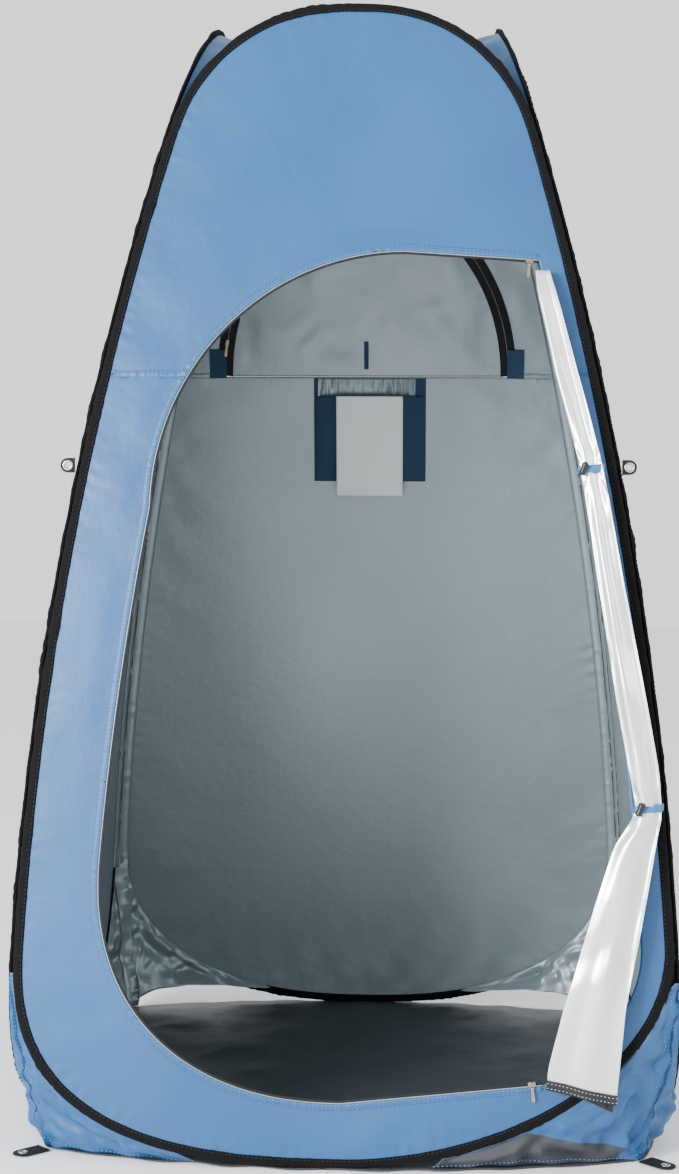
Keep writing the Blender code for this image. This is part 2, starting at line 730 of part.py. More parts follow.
def turned(name, profile, sides, frame, finish):
    """A solid with flat ends, turned about the frame's Z from (radius, z) points."""
    bm = bmesh.new()
    rings = []
    for radius, z in profile:
        rings.append([bm.verts.new((x, y, z)) for x, y in circle(radius, sides)])
    bridge(bm, rings, True, False)
    bm.faces.new(rings[0])
    bm.faces.new(rings[-1])
    bmesh.ops.transform(bm, matrix=frame, verts=bm.verts)
    return add_object(name, bm, finish)


def make_hem_tape():
    """The door's own half of the zip, along the foot of the gathered cloth."""
    _, middle, half_across, half_out = flap_section(0.0)
    top = door_height(0.0) - GAP
    rings = []
    for up in (top - HEM_TAPE_WIDTH, top):
        rings.append(ring_at(up, middle, half_across, HEM_TAPE_DEPTH, FLAP_STANDOFF + half_out))
    return loft("door_hem_zip_tape", rings, "zip_tape")


# ---- window ----
def window_arch():
    """The middle of the window's zip, from its right foot over to its left, seen from outside."""
    first = math.asin(WINDOW_TAPE_START / WINDOW_RISE)
    angles = [first + (math.pi - 2 * first) * i / WINDOW_STEPS for i in range(WINDOW_STEPS + 1)]
    arch = []
    for angle in [0.0] + angles + [math.pi]:
        arch.append((WINDOW_HALF * math.cos(angle), BACK.seam + WINDOW_RISE * math.sin(angle)))
    return arch


def window_hole():
    """The hole in the back wall: the arch down to the seam."""
    return offset_line(window_arch(), HALVES_GAP / 2 + TAPE_OVERHANG, False)


def make_window():
    """The window's flap, hinged at the seam, and the two halves of its zip."""
    inside = -1
    edge = offset_line(window_arch(), -HALVES_GAP / 2 - TAPE_OVERHANG, False)
    edge = [(across, max(up, BACK.seam + WINDOW_SILL)) for across, up in edge]
    flap = sheet("window_flap", [edge], BACK.place, "shell_cloth", levels=levels_of(BACK))
    fixed = tape_section(HALVES_GAP / 2, HALVES_GAP / 2 + WINDOW_TAPE, inside)
    moving = tape_section(-HALVES_GAP / 2 - WINDOW_TAPE, -HALVES_GAP / 2, inside)
    line = window_arch()[1:-1]
    sweep("window_zip_tape", BACK, line, fixed, "zip_tape")
    moving_tape = sweep("window_flap_zip_tape", BACK, line, moving, "zip_tape")
    middle = (WINDOW_TAPE_START + WINDOW_TIE_LENGTH) / 2
    strip_ups = [BACK.seam + up for up in (WINDOW_TAPE_START, middle, WINDOW_TIE_LENGTH)]
    near = -CLOTH / 2 - TAPE_STANDOFF
    strip = curved_block("window_tie", BACK, (-WINDOW_TIE_WIDTH / 2, WINDOW_TIE_WIDTH / 2), strip_ups,
                         (near, near - WEBBING), "navy_mesh")
    pivot("window_hinge", BACK.place(0, BACK.seam), [flap, moving_tape, strip])
    free_edge = offset_line(line, HALVES_GAP / 2, False)
    spot, way = along(free_edge, WINDOW_SLIDER_AT)
    zip_slider("window", BACK, spot, way, inside, *WINDOW_SIDE)
    for name, side in (("window_patch_right", -1), ("window_patch_left", 1)):
        foot = WINDOW_HALF + HALVES_GAP / 2 + GAP
        edges = sorted((side * foot, side * (foot + PATCH_WIDTH)))
        over = near - TAPE_CLOTH - GAP
        curved_block(name, BACK, edges, (BACK.seam + SEAM_GAP, BACK.seam + PATCH_HEIGHT),
                     (over, over - CLOTH), "shell_cloth")


# ---- pocket and label ----
def make_pocket():
    """The hanging pocket under the window, its gathered header and the sewn-in label."""
    top = BACK.seam - SEAM_GAP
    header_foot = top - HEADER_DROP
    edges = (POCKET_SHIFT - POCKET_HALF, POCKET_SHIFT + POCKET_HALF)
    near = -CLOTH / 2 - TAPE_STANDOFF
    curved_block("pocket_header", BACK, edges, (header_foot + GAP, top), (near, near - HEADER_DEPTH),
                 "lining_cloth")
    ups = [top - POCKET_DROP, (top - POCKET_DROP + header_foot) / 2, header_foot]
    body = curved_block("pocket", BACK, edges, ups, (near, near - POCKET_DEPTH), "navy_mesh")
    wall = POCKET_CLOTH
    inner_edges = (edges[0] + wall, edges[1] - wall)
    inner_ups = [ups[0] + wall, ups[1], header_foot + POCKET_DEPTH]
    cutter = curved_block("pocket_hollow", BACK, inner_edges, inner_ups,
                          (near - wall, near - POCKET_DEPTH + wall), "navy_mesh")
    boolean(body, cutter, "DIFFERENCE")
    label_out = near - POCKET_DEPTH - LABEL_STANDOFF
    label_edges = (POCKET_SHIFT - LABEL_HALF, POCKET_SHIFT + LABEL_HALF)
    label_ups = (header_foot - LABEL_HEIGHT, header_foot - LABEL_HEIGHT / 2, header_foot)
    label = curved_block("care_label", BACK, label_edges, label_ups, (label_out, label_out - CLOTH),
                         "label_cloth")
    pivot("care_label_hinge", BACK.place(POCKET_SHIFT, header_foot, label_out), [label])


# ---- ground ----
FLOOR_CORNER = Vector((BASE_HALF_WIDTH - FLOOR_CORNER_INSET_X, BASE_HALF_DEPTH - FLOOR_CORNER_INSET_Y))


def corner_reach(wall):
    """A wall's (across, distance) of the floor's corner, in the wall's own frame."""
    swapped = wall in (LEFT, RIGHT)
    return (FLOOR_CORNER.y, FLOOR_CORNER.x) if swapped else (FLOOR_CORNER.x, FLOOR_CORNER.y)


def ground_line(wall, share):
    """The floor's edge under a wall, in its frame: 0 at the middle of the foot, 1 at the corner."""
    across, distance = corner_reach(wall)
    middle = wall.reach(0.0)
    bow = math.cos(math.pi / 2 * share) ** FLOOR_BOW_POWER if share < 1 else 0.0
    return across * share, distance + (middle - distance) * bow


def make_floor():
    """The groundsheet: one flat sheet under the four hoops."""
    outline = []
    for wall in WALLS:
        for i in range(-FLOOR_STEPS, FLOOR_STEPS + 1):
            if abs(i) == FLOOR_STEPS:
                continue
            across, distance = ground_line(wall, abs(i) / FLOOR_STEPS)
            spot = wall.turn @ Vector((math.copysign(across, i), -distance - FLOOR_LIP, 0))
            outline.append((spot.x, spot.y))
        across, distance = corner_reach(wall)
        spot = wall.turn @ Vector((across, -distance, 0))
        outline.append((spot.x, spot.y))
    prism("groundsheet", [outline], 0.0, FLOOR_CLOTH, Matrix.Identity(4), "floor_cloth")


CORNER_AFTER = {"front": "front_right", "right": "back_right", "back": "back_left", "left": "front_left"}


def gusset_edge(wall, side):
    """The points of a hoop's foot that a corner gusset is sewn to, from the ground up."""
    power = wall.powers[1] if side > 0 else wall.powers[0]
    outer = offset_line(half_hoop(wall, power), SLEEVE_HALF + GAP + CLOTH / 2, False)
    low, high = GUSSET_LOW, FOOT_RISE - GUSSET_TOP_DROP
    return [(side * across, up) for across, up in outer if low < up < high]


def make_gussets():
    """The cloth between two hoops' feet and the ground, round each corner of the tent."""
    for i, wall in enumerate(WALLS):
        following = WALLS[(i + 1) % 4]
        columns = []
        for face, side in ((wall, 1), (following, -1)):
            edge = gusset_edge(face, side)
            part = []
            for across, up in edge:
                top = face.place(across, up)
                share = min(abs(across) / face.half(up), GUSSET_FOOT_SHARE)
                foot_across, distance = ground_line(face, share)
                foot = face.turn @ Vector((side * foot_across, -distance, FLOOR_TOP))
                part.append((top, foot))
            columns += part if side > 0 else list(reversed(part))
            if side > 0:
                up = FOOT_RISE - GUSSET_TOP_DROP
                across, distance = corner_reach(face)
                foot = face.turn @ Vector((across, -distance, FLOOR_TOP))
                columns.append((face.place(face.half(up), up), foot))
        bm = bmesh.new()
        rows = []
        for top, foot in columns:
            middle = top.lerp(foot, 0.5)
            rows.append([bm.verts.new(spot) for spot in (foot, middle, top)])
        bridge(bm, rows, False, False)
        made = add_object("gusset_" + CORNER_AFTER[wall.name], bm, "shell_cloth")
        modifier = made.modifiers.new("cloth", "SOLIDIFY")
        modifier.thickness = CLOTH
        modifier.offset = 0.0


# ---- roof ----
def make_roof():
    """The roof: cloth drawn in from the four arches to its dipped middle."""
    bm = bmesh.new()
    middle = bm.verts.new((0, 0, HEIGHT - ROOF_DIP))
    inside = -SLEEVE_DEPTH / 2 - GAP - CLOTH / 2
    ring = []
    for wall in WALLS:
        arch = [(x, z) for x, z in half_hoop(wall, FOOT_POWER) if z > HEIGHT - ARCH_DROP + ROOF_START]
        line = [(-x, z) for x, z in arch[:-1]] + list(reversed(arch))
        for across, up in line:
            ring.append(wall.place(across, up, inside))
        up = HEIGHT - ARCH_DROP + ROOF_START
        ring.append(wall.place(wall.half(up) - ROOF_CORNER_TUCK, up, -ROOF_CORNER_TUCK))
    outer = [bm.verts.new(spot) for spot in ring]
    inner = []
    for spot in ring:
        between = spot.lerp(Vector(middle.co), 0.5)
        between.z -= ROOF_SAG
        inner.append(bm.verts.new(between))
    bridge(bm, [outer, inner], True, False)
    for i, corner in enumerate(inner):
        bm.faces.new((corner, inner[(i + 1) % len(inner)], middle))
    made = add_object("roof_panel", bm, "shell_cloth")
    modifier = made.modifiers.new("cloth", "SOLIDIFY")
    modifier.thickness = CLOTH
    modifier.offset = 0.0


# ---- tabs ----
def make_tab(name, frame, length, width, base_z, hinge_name):
    """A webbing tab with an eyelet, lying along the frame's X from its sewn edge, Z its thickness."""
    half = width / 2
    round_end = length - half
    outline = [(0.0, half), (0.0, -half)]
    for i in range(TAB_END_STEPS + 1):
        turn = math.pi * (i / TAB_END_STEPS - 0.5)
        outline.append((round_end + half * math.cos(turn), half * math.sin(turn)))
    hole = circle(EYELET_BARREL + GAP, EYELET_SIDES, (round_end, 0.0))
    tab = prism(name + "_tab", [outline, hole], base_z, base_z + WEBBING, frame, "webbing")
    flange = base_z + WEBBING + GAP
    profile = [
        (EYELET_HOLE, 0.0), (EYELET_BARREL, 0.0), (EYELET_BARREL, flange), (EYELET_FLANGE, flange),
        (EYELET_FLANGE, flange + EYELET_RIM), (EYELET_HOLE, flange + EYELET_RIM),
    ]
    bm = bmesh.new()
    rings = []
    place = frame @ Matrix.Translation((round_end, 0, 0))
    for radius, z in profile:
        rings.append([bm.verts.new(place @ Vector((x, y, z))) for x, y in circle(radius, EYELET_SIDES)])
    bridge(bm, rings, True, True)
    eyelet = add_object(name + "_eyelet", bm, "eyelet_metal")
    pivot(hinge_name, frame.translation, [tab, eyelet])


def make_tabs():
    """A peg tab at each corner of the floor and a guy-line tab at each front corner."""
    for name, x_side, y_side in (("front_left", -1, -1), ("front_right", 1, -1),
                                 ("back_right", 1, 1), ("back_left", -1, 1)):
        corner = Vector((x_side * FLOOR_CORNER.x, y_side * FLOOR_CORNER.y, 0))
        way = Vector((x_side, y_side, 0)).normalized()
        turn = math.atan2(way.y, way.x)
        frame = Matrix.Translation(corner + way * PEG_TAB_GAP) @ Matrix.Rotation(turn, 4, "Z")
        make_tab(f"peg_{name}", frame, PEG_TAB_LENGTH, PEG_TAB_WIDTH, PEG_TAB_LIFT, f"peg_{name}_hinge")
    for name, side in (("left", -1), ("right", 1)):
        across = FRONT.half(GUY_TAB_Z) + SLEEVE_DEPTH / 2 + GAP
        origin = FRONT.place(side * across, GUY_TAB_Z)
        x_axis = Vector((side, 0, 0))
        z_axis = Vector((0, -1, 0))
        y_axis = z_axis.cross(x_axis)
        axes = Matrix((x_axis, y_axis, z_axis)).transposed().to_4x4()
        make_tab(f"guy_{name}", Matrix.Translation(origin) @ axes, GUY_TAB_LENGTH, GUY_TAB_WIDTH, 0.0,
                 f"guy_{name}_hinge")


# ---- whole object ----
def clear_scene():
    for old in list(bpy.data.objects):
        bpy.data.objects.remove(old, do_unlink=True)


def main():
    clear_scene()
    for wall in WALLS:
        make_hoop(wall)
    make_walls()
    make_gussets()
    make_roof()
    make_floor()
    make_door_zip()
    make_door()
    make_window()
    make_pocket()
    make_tabs()


main()
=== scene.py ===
"""Looks of the pop-up privacy shower tent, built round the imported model's frame.

Metres, +Z up, the doorway faces -Y. A wall's own flat coordinates are (across, up), and out is the
distance in front of it. Each cloth piece is cut flat, given its folds and bent onto its wall.
"""

import json
import math

import bmesh
import bpy
import numpy as np
from mathutils import Matrix, Vector
from mathutils.geometry import delaunay_2d_cdt
from mathutils.kdtree import KDTree

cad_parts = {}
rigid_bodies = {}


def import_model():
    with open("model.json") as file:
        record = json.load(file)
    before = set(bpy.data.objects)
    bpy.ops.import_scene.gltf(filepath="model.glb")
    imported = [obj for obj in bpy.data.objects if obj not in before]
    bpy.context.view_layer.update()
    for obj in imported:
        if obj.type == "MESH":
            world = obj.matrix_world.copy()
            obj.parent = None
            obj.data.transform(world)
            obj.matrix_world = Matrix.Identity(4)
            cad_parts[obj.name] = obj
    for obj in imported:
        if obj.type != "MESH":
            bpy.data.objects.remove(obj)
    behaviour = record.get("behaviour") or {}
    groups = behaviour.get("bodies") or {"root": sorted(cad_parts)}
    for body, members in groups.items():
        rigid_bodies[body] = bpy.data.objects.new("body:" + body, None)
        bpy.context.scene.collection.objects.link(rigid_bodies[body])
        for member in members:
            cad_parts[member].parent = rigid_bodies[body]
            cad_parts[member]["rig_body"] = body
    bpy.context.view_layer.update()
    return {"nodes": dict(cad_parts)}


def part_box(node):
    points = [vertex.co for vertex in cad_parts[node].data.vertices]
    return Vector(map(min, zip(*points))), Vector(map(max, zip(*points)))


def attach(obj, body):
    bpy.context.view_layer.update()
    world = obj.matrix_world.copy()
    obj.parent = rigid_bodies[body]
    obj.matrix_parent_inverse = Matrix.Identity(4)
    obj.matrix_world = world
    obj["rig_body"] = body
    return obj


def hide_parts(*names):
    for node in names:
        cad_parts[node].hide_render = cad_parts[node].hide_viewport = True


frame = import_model()
TAU = math.tau
MM = 0.001

# ---- the tent's own sizes, as in its design ----
HEIGHT = 1.90
WIDTHS = (0.538, 0.245)
DEPTHS = (0.550, 0.250)
FOOT_RISE = 0.36
ARCH_DROP = 0.24
ARCH_POWER = 2.5
FOOT_POWER = 2.4
FRONT_FOOT_POWERS = (2.7, 1.9)     # its left foot is squarer than its right
SHOULDER = HEIGHT - ARCH_DROP
FLOOR_CORNER = (0.485, 0.470)
ROOF_DIP = 0.045
ROOF_SAG = 0.012
ROOF_START = 0.035
SLEEVE_WIDTH = 0.016
SLEEVE_HALF = SLEEVE_WIDTH / 2
SLEEVE_DEPTH = 0.007
SLEEVE_INSET = SLEEVE_HALF + SLEEVE_DEPTH / 2 + 0.0007
CLOTH_GRIP = 0.004
FOOT_Z = 0.0017 + SLEEVE_HALF
ARCH_Z = HEIGHT - SLEEVE_HALF
DOOR_TOP = HEIGHT - 0.431
DOOR_SILL = 0.106
DOOR_SILL_RISE = 0.035
DOOR_HEAD_FALL = 0.015
DOOR_EDGE = 0.130
DOOR_HINGE_EDGE = 0.045
DOOR_FOOT = 0.50
DOOR_FOOT_POWER = 2.3
DOOR_SHOULDER = 0.42
DOOR_CROWN = 0.09
SILL_END = DOOR_SILL + DOOR_SILL_RISE
HEAD_END = DOOR_TOP - DOOR_HEAD_FALL
FLAP_STANDOFF = 0.0075
TIE_WIDTH = 0.012
TIE_SHARES = {"upper": 0.740, "lower": 0.335}
# share of the doorway's height, inset from the hoop line, half width, half depth of the gathered door
FLAP_STATIONS = np.array([
    (0.000, 0.158, 0.054, 0.009), (0.015, 0.157, 0.055, 0.012), (0.100, 0.135, 0.047, 0.014),
    (0.220, 0.088, 0.039, 0.015), (0.290, 0.058, 0.032, 0.013), (0.329, 0.031, 0.020, 0.010),
    (0.341, 0.031, 0.020, 0.010), (0.380, 0.033, 0.023, 0.012), (0.470, 0.041, 0.023, 0.013),
    (0.600, 0.047, 0.020, 0.012), (0.734, 0.047, 0.018, 0.009), (0.746, 0.047, 0.018, 0.009),
    (0.860, 0.057, 0.018, 0.010), (0.960, 0.060, 0.015, 0.009), (0.985, 0.058, 0.011, 0.006),
])
TAPE_OVERHANG = 0.005
WINDOW_HALF = 0.285
WINDOW_RISE = 0.345
WINDOW_TAPE = 0.014
HALVES_GAP = 0.003
PATCH_WIDTH = 0.034
PATCH_HEIGHT = 0.052
POCKET_HALF = 0.113
POCKET_SHIFT = -0.007
POCKET_DROP = 0.210
POCKET_DEPTH = 0.022
HEADER_DROP = 0.040
LABEL_HALF = 0.067
LABEL_HEIGHT = 0.200
GUSSET_LOW = 0.028
GUSSET_TOP = FOOT_RISE - 0.055
GUSSET_CLEAR = SLEEVE_HALF + 0.0008    # from a hoop's line to its gusset's edge
FLOOR_TOP = 0.0035        # where a gusset meets the groundsheet
SKIRT_START = 0.250       # the groundsheet's cloth comes up to the front hoop as far right as this
SKIRT_END = 0.440         # and its strip under the gusset ends here

# ---- cloth ----
CLOTH = 0.0007            # coated taffeta with its lining, drawn a little thick
EDGE_STEP = 0.0045        # between points along a cut edge
FIELD_STEP = 0.0100       # between points in the open cloth
BANDS = (0.004, 0.009, 0.015, 0.022, 0.031)     # rows of points this far inside an edge
THIN_CLOTH = 0.0006       # bindings, joins and hems
RIPPLE_WAVES = 6
SWELL_WAVES = 7
FRAME_SHARE = 0.31        # a piece that fills less of its box than this is a frame round a hole
FOLD_POINTS = 14          # along one fold of the gathered door

# ---- sections across narrow pieces, as (to the right, out) ----
SEAM_LAP = ((-0.0055, 0.0002), (-0.0042, 0.0010), (0.0, 0.0012), (0.0042, 0.0010), (0.0055, 0.0002))
CORNER_JOIN = ((-0.0135, -0.0012), (-0.0105, -0.0034), (-0.0085, -0.0048), (-0.002, -0.0058),
               (0.003, -0.0060), (0.0065, -0.0056))
DOORWAY_HEM = ((-0.0115, 0.0005), (-0.0108, 0.0012), (-0.0060, 0.0015), (-0.0015, 0.0014),
               (-0.0002, 0.0008))
DOORWAY_TAPE = ((-0.004, 0.0009), (0.000, 0.0010), (0.0025, 0.0010), (TAPE_OVERHANG, 0.0010))
# radius of the thin pale cord that paints a highlight along the doorway's hem
HIGHLIGHT_CORD_RADIUS = 0.0008
# a tie's outer face as (share of its half width, out), and then its inner one
TIE_FACES = ((-1.0, 0.0), (-0.9, 0.0007), (-0.3, 0.0009), (0.3, 0.0009), (0.9, 0.0007), (1.0, 0.0),
             (1.0, -0.0003), (0.3, -0.0003), (-0.3, -0.0003), (-1.0, -0.0003))

# ---- stitches: spacing, length and width ----
STITCH = (0.0070, 0.0042)
DOOR_STITCH = (0.0060, 0.0036, 0.0012)
DOORWAY_TEETH = (0.0022, 0.0014, 0.0022)
WINDOW_TEETH = (0.0026, 0.0016, 0.0024)

# ---- studio ----
SKY_STRENGTH = 1.45
LAMPS = (("key", (-2.7, -3.7, 1.9), 1.8, 430), ("fill", (3.2, -2.6, 2.6), 2.4, 60))     # place, size, watts
LAMPS_AIM = Vector((0, 0, 0.9))
CAMERA_PLACE = (0.1513, -3.8011, 1.062)
CAMERA_TURNS = (-2.77, 2.415, 0.285)    # degrees to the right, down and clockwise
CAMERA_LENS = 63.79


# ---- small tools ----
def parabola(sizes, up):
    """A size that shrinks from the ground to the top."""
    return sizes[0] - (sizes[0] - sizes[1]) * (up / HEIGHT) ** 2


def power(value, exponent):
    """A power that keeps its sign."""
    return np.sign(value) * np.abs(value) ** exponent


def unit(ways):
    """Directions of length one."""
    return ways / np.maximum(np.linalg.norm(ways, axis=-1, keepdims=True), 1e-12)


class Wall:
    """One leaning, curved wall of the tent."""

    def __init__(self, name, degrees, reach, half, seam, powers):
        turn = math.radians(degrees)
        self.name = name
        self.axes = np.array([
            (math.cos(turn), math.sin(turn), 0), (-math.sin(turn), math.cos(turn), 0), (0, 0, 1)])
        self.reach_sizes = reach
        self.half_sizes = half
        self.seam = seam
        self.powers = powers

    def reach(self, up):
        return parabola(self.reach_sizes, up)

    def half(self, up):
        return parabola(self.half_sizes, up)

    def place(self, flat, out=0.0):
        """Points of the wall, from an array of (across, up) and how far out each stands."""
        across, up = np.asarray(flat, float).T
        local = np.stack((across, -self.reach(up) - out, up), 1)
        return local @ self.axes


FRONT = Wall("front", 0, DEPTHS, WIDTHS, HEIGHT - 0.635, FRONT_FOOT_POWERS)
RIGHT = Wall("right", 90, WIDTHS, DEPTHS, HEIGHT - 0.610, (FOOT_POWER, FOOT_POWER))
BACK = Wall("back", 180, DEPTHS, WIDTHS, HEIGHT - 0.590, (FOOT_POWER, FOOT_POWER))
LEFT = Wall("left", 270, WIDTHS, DEPTHS, HEIGHT - 0.610, (FOOT_POWER, FOOT_POWER))
WALLS = (FRONT, RIGHT, BACK, LEFT)


def run_along(line):
    """How far along a line each of its points is."""
    return np.concatenate(([0.0], np.cumsum(np.linalg.norm(np.diff(line, axis=0), axis=1))))


def resample(line, step, closed=False):
    """A line's points at even steps, and how far along it each one is."""
    line = np.asarray(line, float)
    if closed:
        line = np.vstack((line, line[:1]))
    run = run_along(line)
    count = max(3, round(run[-1] / step) + (0 if closed else 1))
    marks = np.linspace(0, run[-1], count, endpoint=not closed)
    return np.stack([np.interp(marks, run, column) for column in line.T], 1), marks


def offset(line, distance, closed=False):
    """A flat line moved to the right of its travel, by one distance or by one for each point."""
    ahead = unit(np.roll(line, -1, 0) - line)
    behind = unit(line - np.roll(line, 1, 0))
    if not closed:
        ahead[-1] = behind[-1]
        behind[0] = ahead[0]
    way = unit(ahead + behind)
    stretch = 1 / np.maximum((way * ahead).sum(1), 0.5)
    side = np.stack((way[:, 1], -way[:, 0]), 1)
    return line + side * (distance * stretch)[:, None]


def ripples(run, away, seed, lengths, slant=0.0):
    """Small folds across an edge, from -1 to 1, at places along it and away from it."""
    draw = np.random.default_rng(seed)
    total = np.zeros_like(run)
    for _ in range(RIPPLE_WAVES):
        length = draw.uniform(*lengths)
        lean = draw.uniform(-slant, slant)
        total += np.sin(TAU * (run + lean * away) / length + draw.uniform(0, TAU))
    return total / math.sqrt(RIPPLE_WAVES) * (0.6 + 0.4 * np.sin(TAU * run / (lengths[1] * 7.3) + seed))


def swell(flat, seed, lengths):
    """Broad soft waves in every direction, about -1 to 1."""
    draw = np.random.default_rng(seed)
    total = np.zeros(len(flat))
    for _ in range(SWELL_WAVES):
        turn = draw.uniform(0, math.pi)
        wave = flat @ np.array((math.cos(turn), math.sin(turn))) / draw.uniform(*lengths)
        total += np.sin(TAU * wave + draw.uniform(0, TAU))
    return total / math.sqrt(SWELL_WAVES)


def crumple(flat, seed, lengths, count=7):
    """Sharp creases in every direction, about -1 to 1, as in cloth that has been packed small."""
    draw = np.random.default_rng(seed)
    total = np.zeros(len(flat))
    bend = 0.018 * np.stack((swell(flat, seed + 1, (0.10, 0.20)), swell(flat, seed + 2, (0.10, 0.20))), 1)
    for _ in range(count):
        turn = draw.uniform(0, math.pi)
        wave = (flat + bend) @ np.array((math.cos(turn), math.sin(turn))) / draw.uniform(*lengths)
        total += (np.abs((wave + draw.uniform(0, 1)) % 1 - 0.5) * 4 - 1) * draw.uniform(0.4, 1)
    return total / math.sqrt(count)


def nearest(flat, line, closed=True):
    """For each point, the place along a line of its nearest point, and how far away that is."""
    samples, marks = resample(line, 0.002, closed)
    tree = KDTree(len(samples))
    for i, (across, up) in enumerate(samples):
        tree.insert((across, up, 0), i)
    tree.balance()
    found = [tree.find((across, up, 0)) for across, up in flat]
    return marks[[spot[1] for spot in found]], np.array([spot[2] for spot in found])


# ---- meshes ----
def grid_faces(rows, columns, rows_close=False, columns_close=False):
    """Quads of a grid whose points are stored row by row."""
    i = np.arange(rows if rows_close else rows - 1)[:, None]
    j = np.arange(columns if columns_close else columns - 1)[None, :]
    below, beyond = (i + 1) % rows, (j + 1) % columns
    quads = np.stack((i * columns + j, below * columns + j, below * columns + beyond,
                      i * columns + beyond), -1)
    return quads.reshape(-1, 4).tolist()


def link(made):
    """An object put into the scene."""
    bpy.context.scene.collection.objects.link(made)
    return made


def piece(name, points, faces, finish, body="root", slot=None, uv=None, lining=None, thick=None):
    """A finished mesh in the scene, with its own UV map in metres, riding on its body."""
    mesh = bpy.data.meshes.new(name)
    mesh.from_pydata(np.asarray(points, float).reshape(-1, 3).tolist(), [], faces)
    if uv is not None:
        corners = np.zeros(len(mesh.loops), np.int32)
        mesh.loops.foreach_get("vertex_index", corners)
        layer = mesh.uv_layers.new(name="cut")
        layer.data.foreach_set("uv", np.asarray(uv, np.float32).reshape(-1, 2)[corners].ravel())
    mesh.materials.append(finish)
    if lining:
        mesh.materials.append(lining)
    mesh.shade_smooth()
    made = link(bpy.data.objects.new(name, mesh))
    if thick:
        modifier = made.modifiers.new("cloth", "SOLIDIFY")
        modifier.thickness = thick
        modifier.offset = -1.0
        modifier.material_offset = 1 if lining else 0
    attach(made, body)
    return made


def strip(name, wall, line, section, finish, tube=False, rise=None, **more):
    """A section carried along a flat line on a wall. Rise adds height by run and place in the section."""
    rows = []
    run = run_along(line)
    for right, out in section:
        lift = rise(run, right) if rise else 0.0
        rows.append(wall.place(offset(line, right), out + lift))
    widths = run_along(section)
    uv = np.stack(np.meshgrid(run, widths), -1)
    faces = grid_faces(len(section), len(line), tube)
    return piece(name, np.array(rows), faces, finish, uv=uv, **more)


def inside(points, loops):
    """Whether each point is inside the loops, where a loop inside another is a hole."""
    odd = np.zeros(len(points), bool)
    starts = np.vstack(loops)
    ends = np.vstack([np.roll(loop, -1, 0) for loop in loops])
    for (x0, y0), (x1, y1) in zip(starts, ends):
        if y0 == y1:
            continue
        crosses = (points[:, 1] > y0) != (points[:, 1] > y1)
        odd ^= crosses & (points[:, 0] < (x1 - x0) * (points[:, 1] - y0) / (y1 - y0) + x0)
    return odd


def fill(loops, level=None):
    """Triangles over flat loops, small near the edges, with a straight row of points at a level."""
    points, edges, crossings = [], [], []
    for loop in loops:
        first = len(points)
        for here, beyond in zip(loop, np.roll(loop, -1, 0)):
            points.append(tuple(here))
            if level is not None and (here[1] - level) * (beyond[1] - level) < 0:
                share = (level - here[1]) / (beyond[1] - here[1])
                crossings.append((here[0] + (beyond[0] - here[0]) * share, len(points)))
                points.append((crossings[-1][0], level))
        count = len(points) - first
        edges += [(first + i, first + (i + 1) % count) for i in range(count)]
    crossings.sort()
    for (start, first), (end, last) in zip(crossings[::2], crossings[1::2]):
        between = np.linspace(start, end, max(3, round((end - start) / EDGE_STEP)))[1:-1]
        chain = [first] + list(range(len(points), len(points) + len(between))) + [last]
        points += [(across, level) for across in between]
        edges += list(zip(chain, chain[1:]))
    low, high = np.min(loops[0], 0), np.max(loops[0], 0)
    ups = np.arange(low[1], high[1], FIELD_STEP * 0.866)
    field = []
    for i, up in enumerate(ups):
        across = np.arange(low[0] + FIELD_STEP / 2 * (i % 2), high[0], FIELD_STEP)
        field.append(np.stack((across, np.full(len(across), up)), 1))
    extra = [(np.vstack(field), BANDS[-1] + FIELD_STEP * 0.6)]
    for i, loop in enumerate(loops):
        for k, band in enumerate(BANDS):
            around = offset(loop, -band if i == 0 else band, True)
            step = EDGE_STEP * (1 + k * 0.25)
            extra.append((resample(around, step, True)[0], band * 0.9))
    for spots, least in extra:
        spots = spots[inside(spots, loops)]
        keep = np.ones(len(spots), bool)
        for loop in loops:
            keep &= nearest(spots, loop)[1] > least
        if level is not None:
            keep &= np.abs(spots[:, 1] - level) > EDGE_STEP * 0.7
        points += [tuple(spot) for spot in spots[keep]]
    flat, _, faces, *_ = delaunay_2d_cdt([Vector(spot) for spot in points], edges, [], 0, 1e-6)
    flat = np.array([tuple(spot) for spot in flat])
    faces = np.array([face for face in faces if len(face) == 3])
    corners = flat[faces]
    faces = faces[inside(corners.mean(1), loops)]
    first, second, third = flat[faces].transpose(1, 0, 2)
    area = np.cross(second - first, third - first)
    faces[area < 0] = faces[area < 0][:, ::-1]
    return flat, faces[np.abs(area) > 1e-10]


def part_of(flat, faces, chosen):
    """The chosen faces with only their own points, and which points those are."""
    used, packed = np.unique(faces[chosen], return_inverse=True)
    return used, packed.reshape(-1, 3).tolist()


def cut_size(flat, faces):
    """The flat width, length and area of a cut piece. A narrow frame round a hole counts as a strip."""
    faces = np.array(faces)
    first, second, third = flat[faces].transpose(1, 0, 2)
    area = float(np.abs(np.cross(second - first, third - first)).sum() / 2)
    width, length = (float(size) for size in flat.max(0) - flat.min(0))
    if area > FRAME_SHARE * width * length:
        return (width, length), min(area, width * length)
    sides = np.sort(faces[:, [0, 1, 1, 2, 2, 0]].reshape(-1, 2), 1)
    edges, uses = np.unique(sides, axis=0, return_counts=True)
    rim = flat[edges[uses == 1]]
    length = float(np.linalg.norm(rim[:, 0] - rim[:, 1], axis=1).sum() / 2)
    return (area / length, length), area


# ---- node trees ----
MIX_SHADES = (6, 7)       # the colour sockets of a Mix node
MIX_RESULT = 2


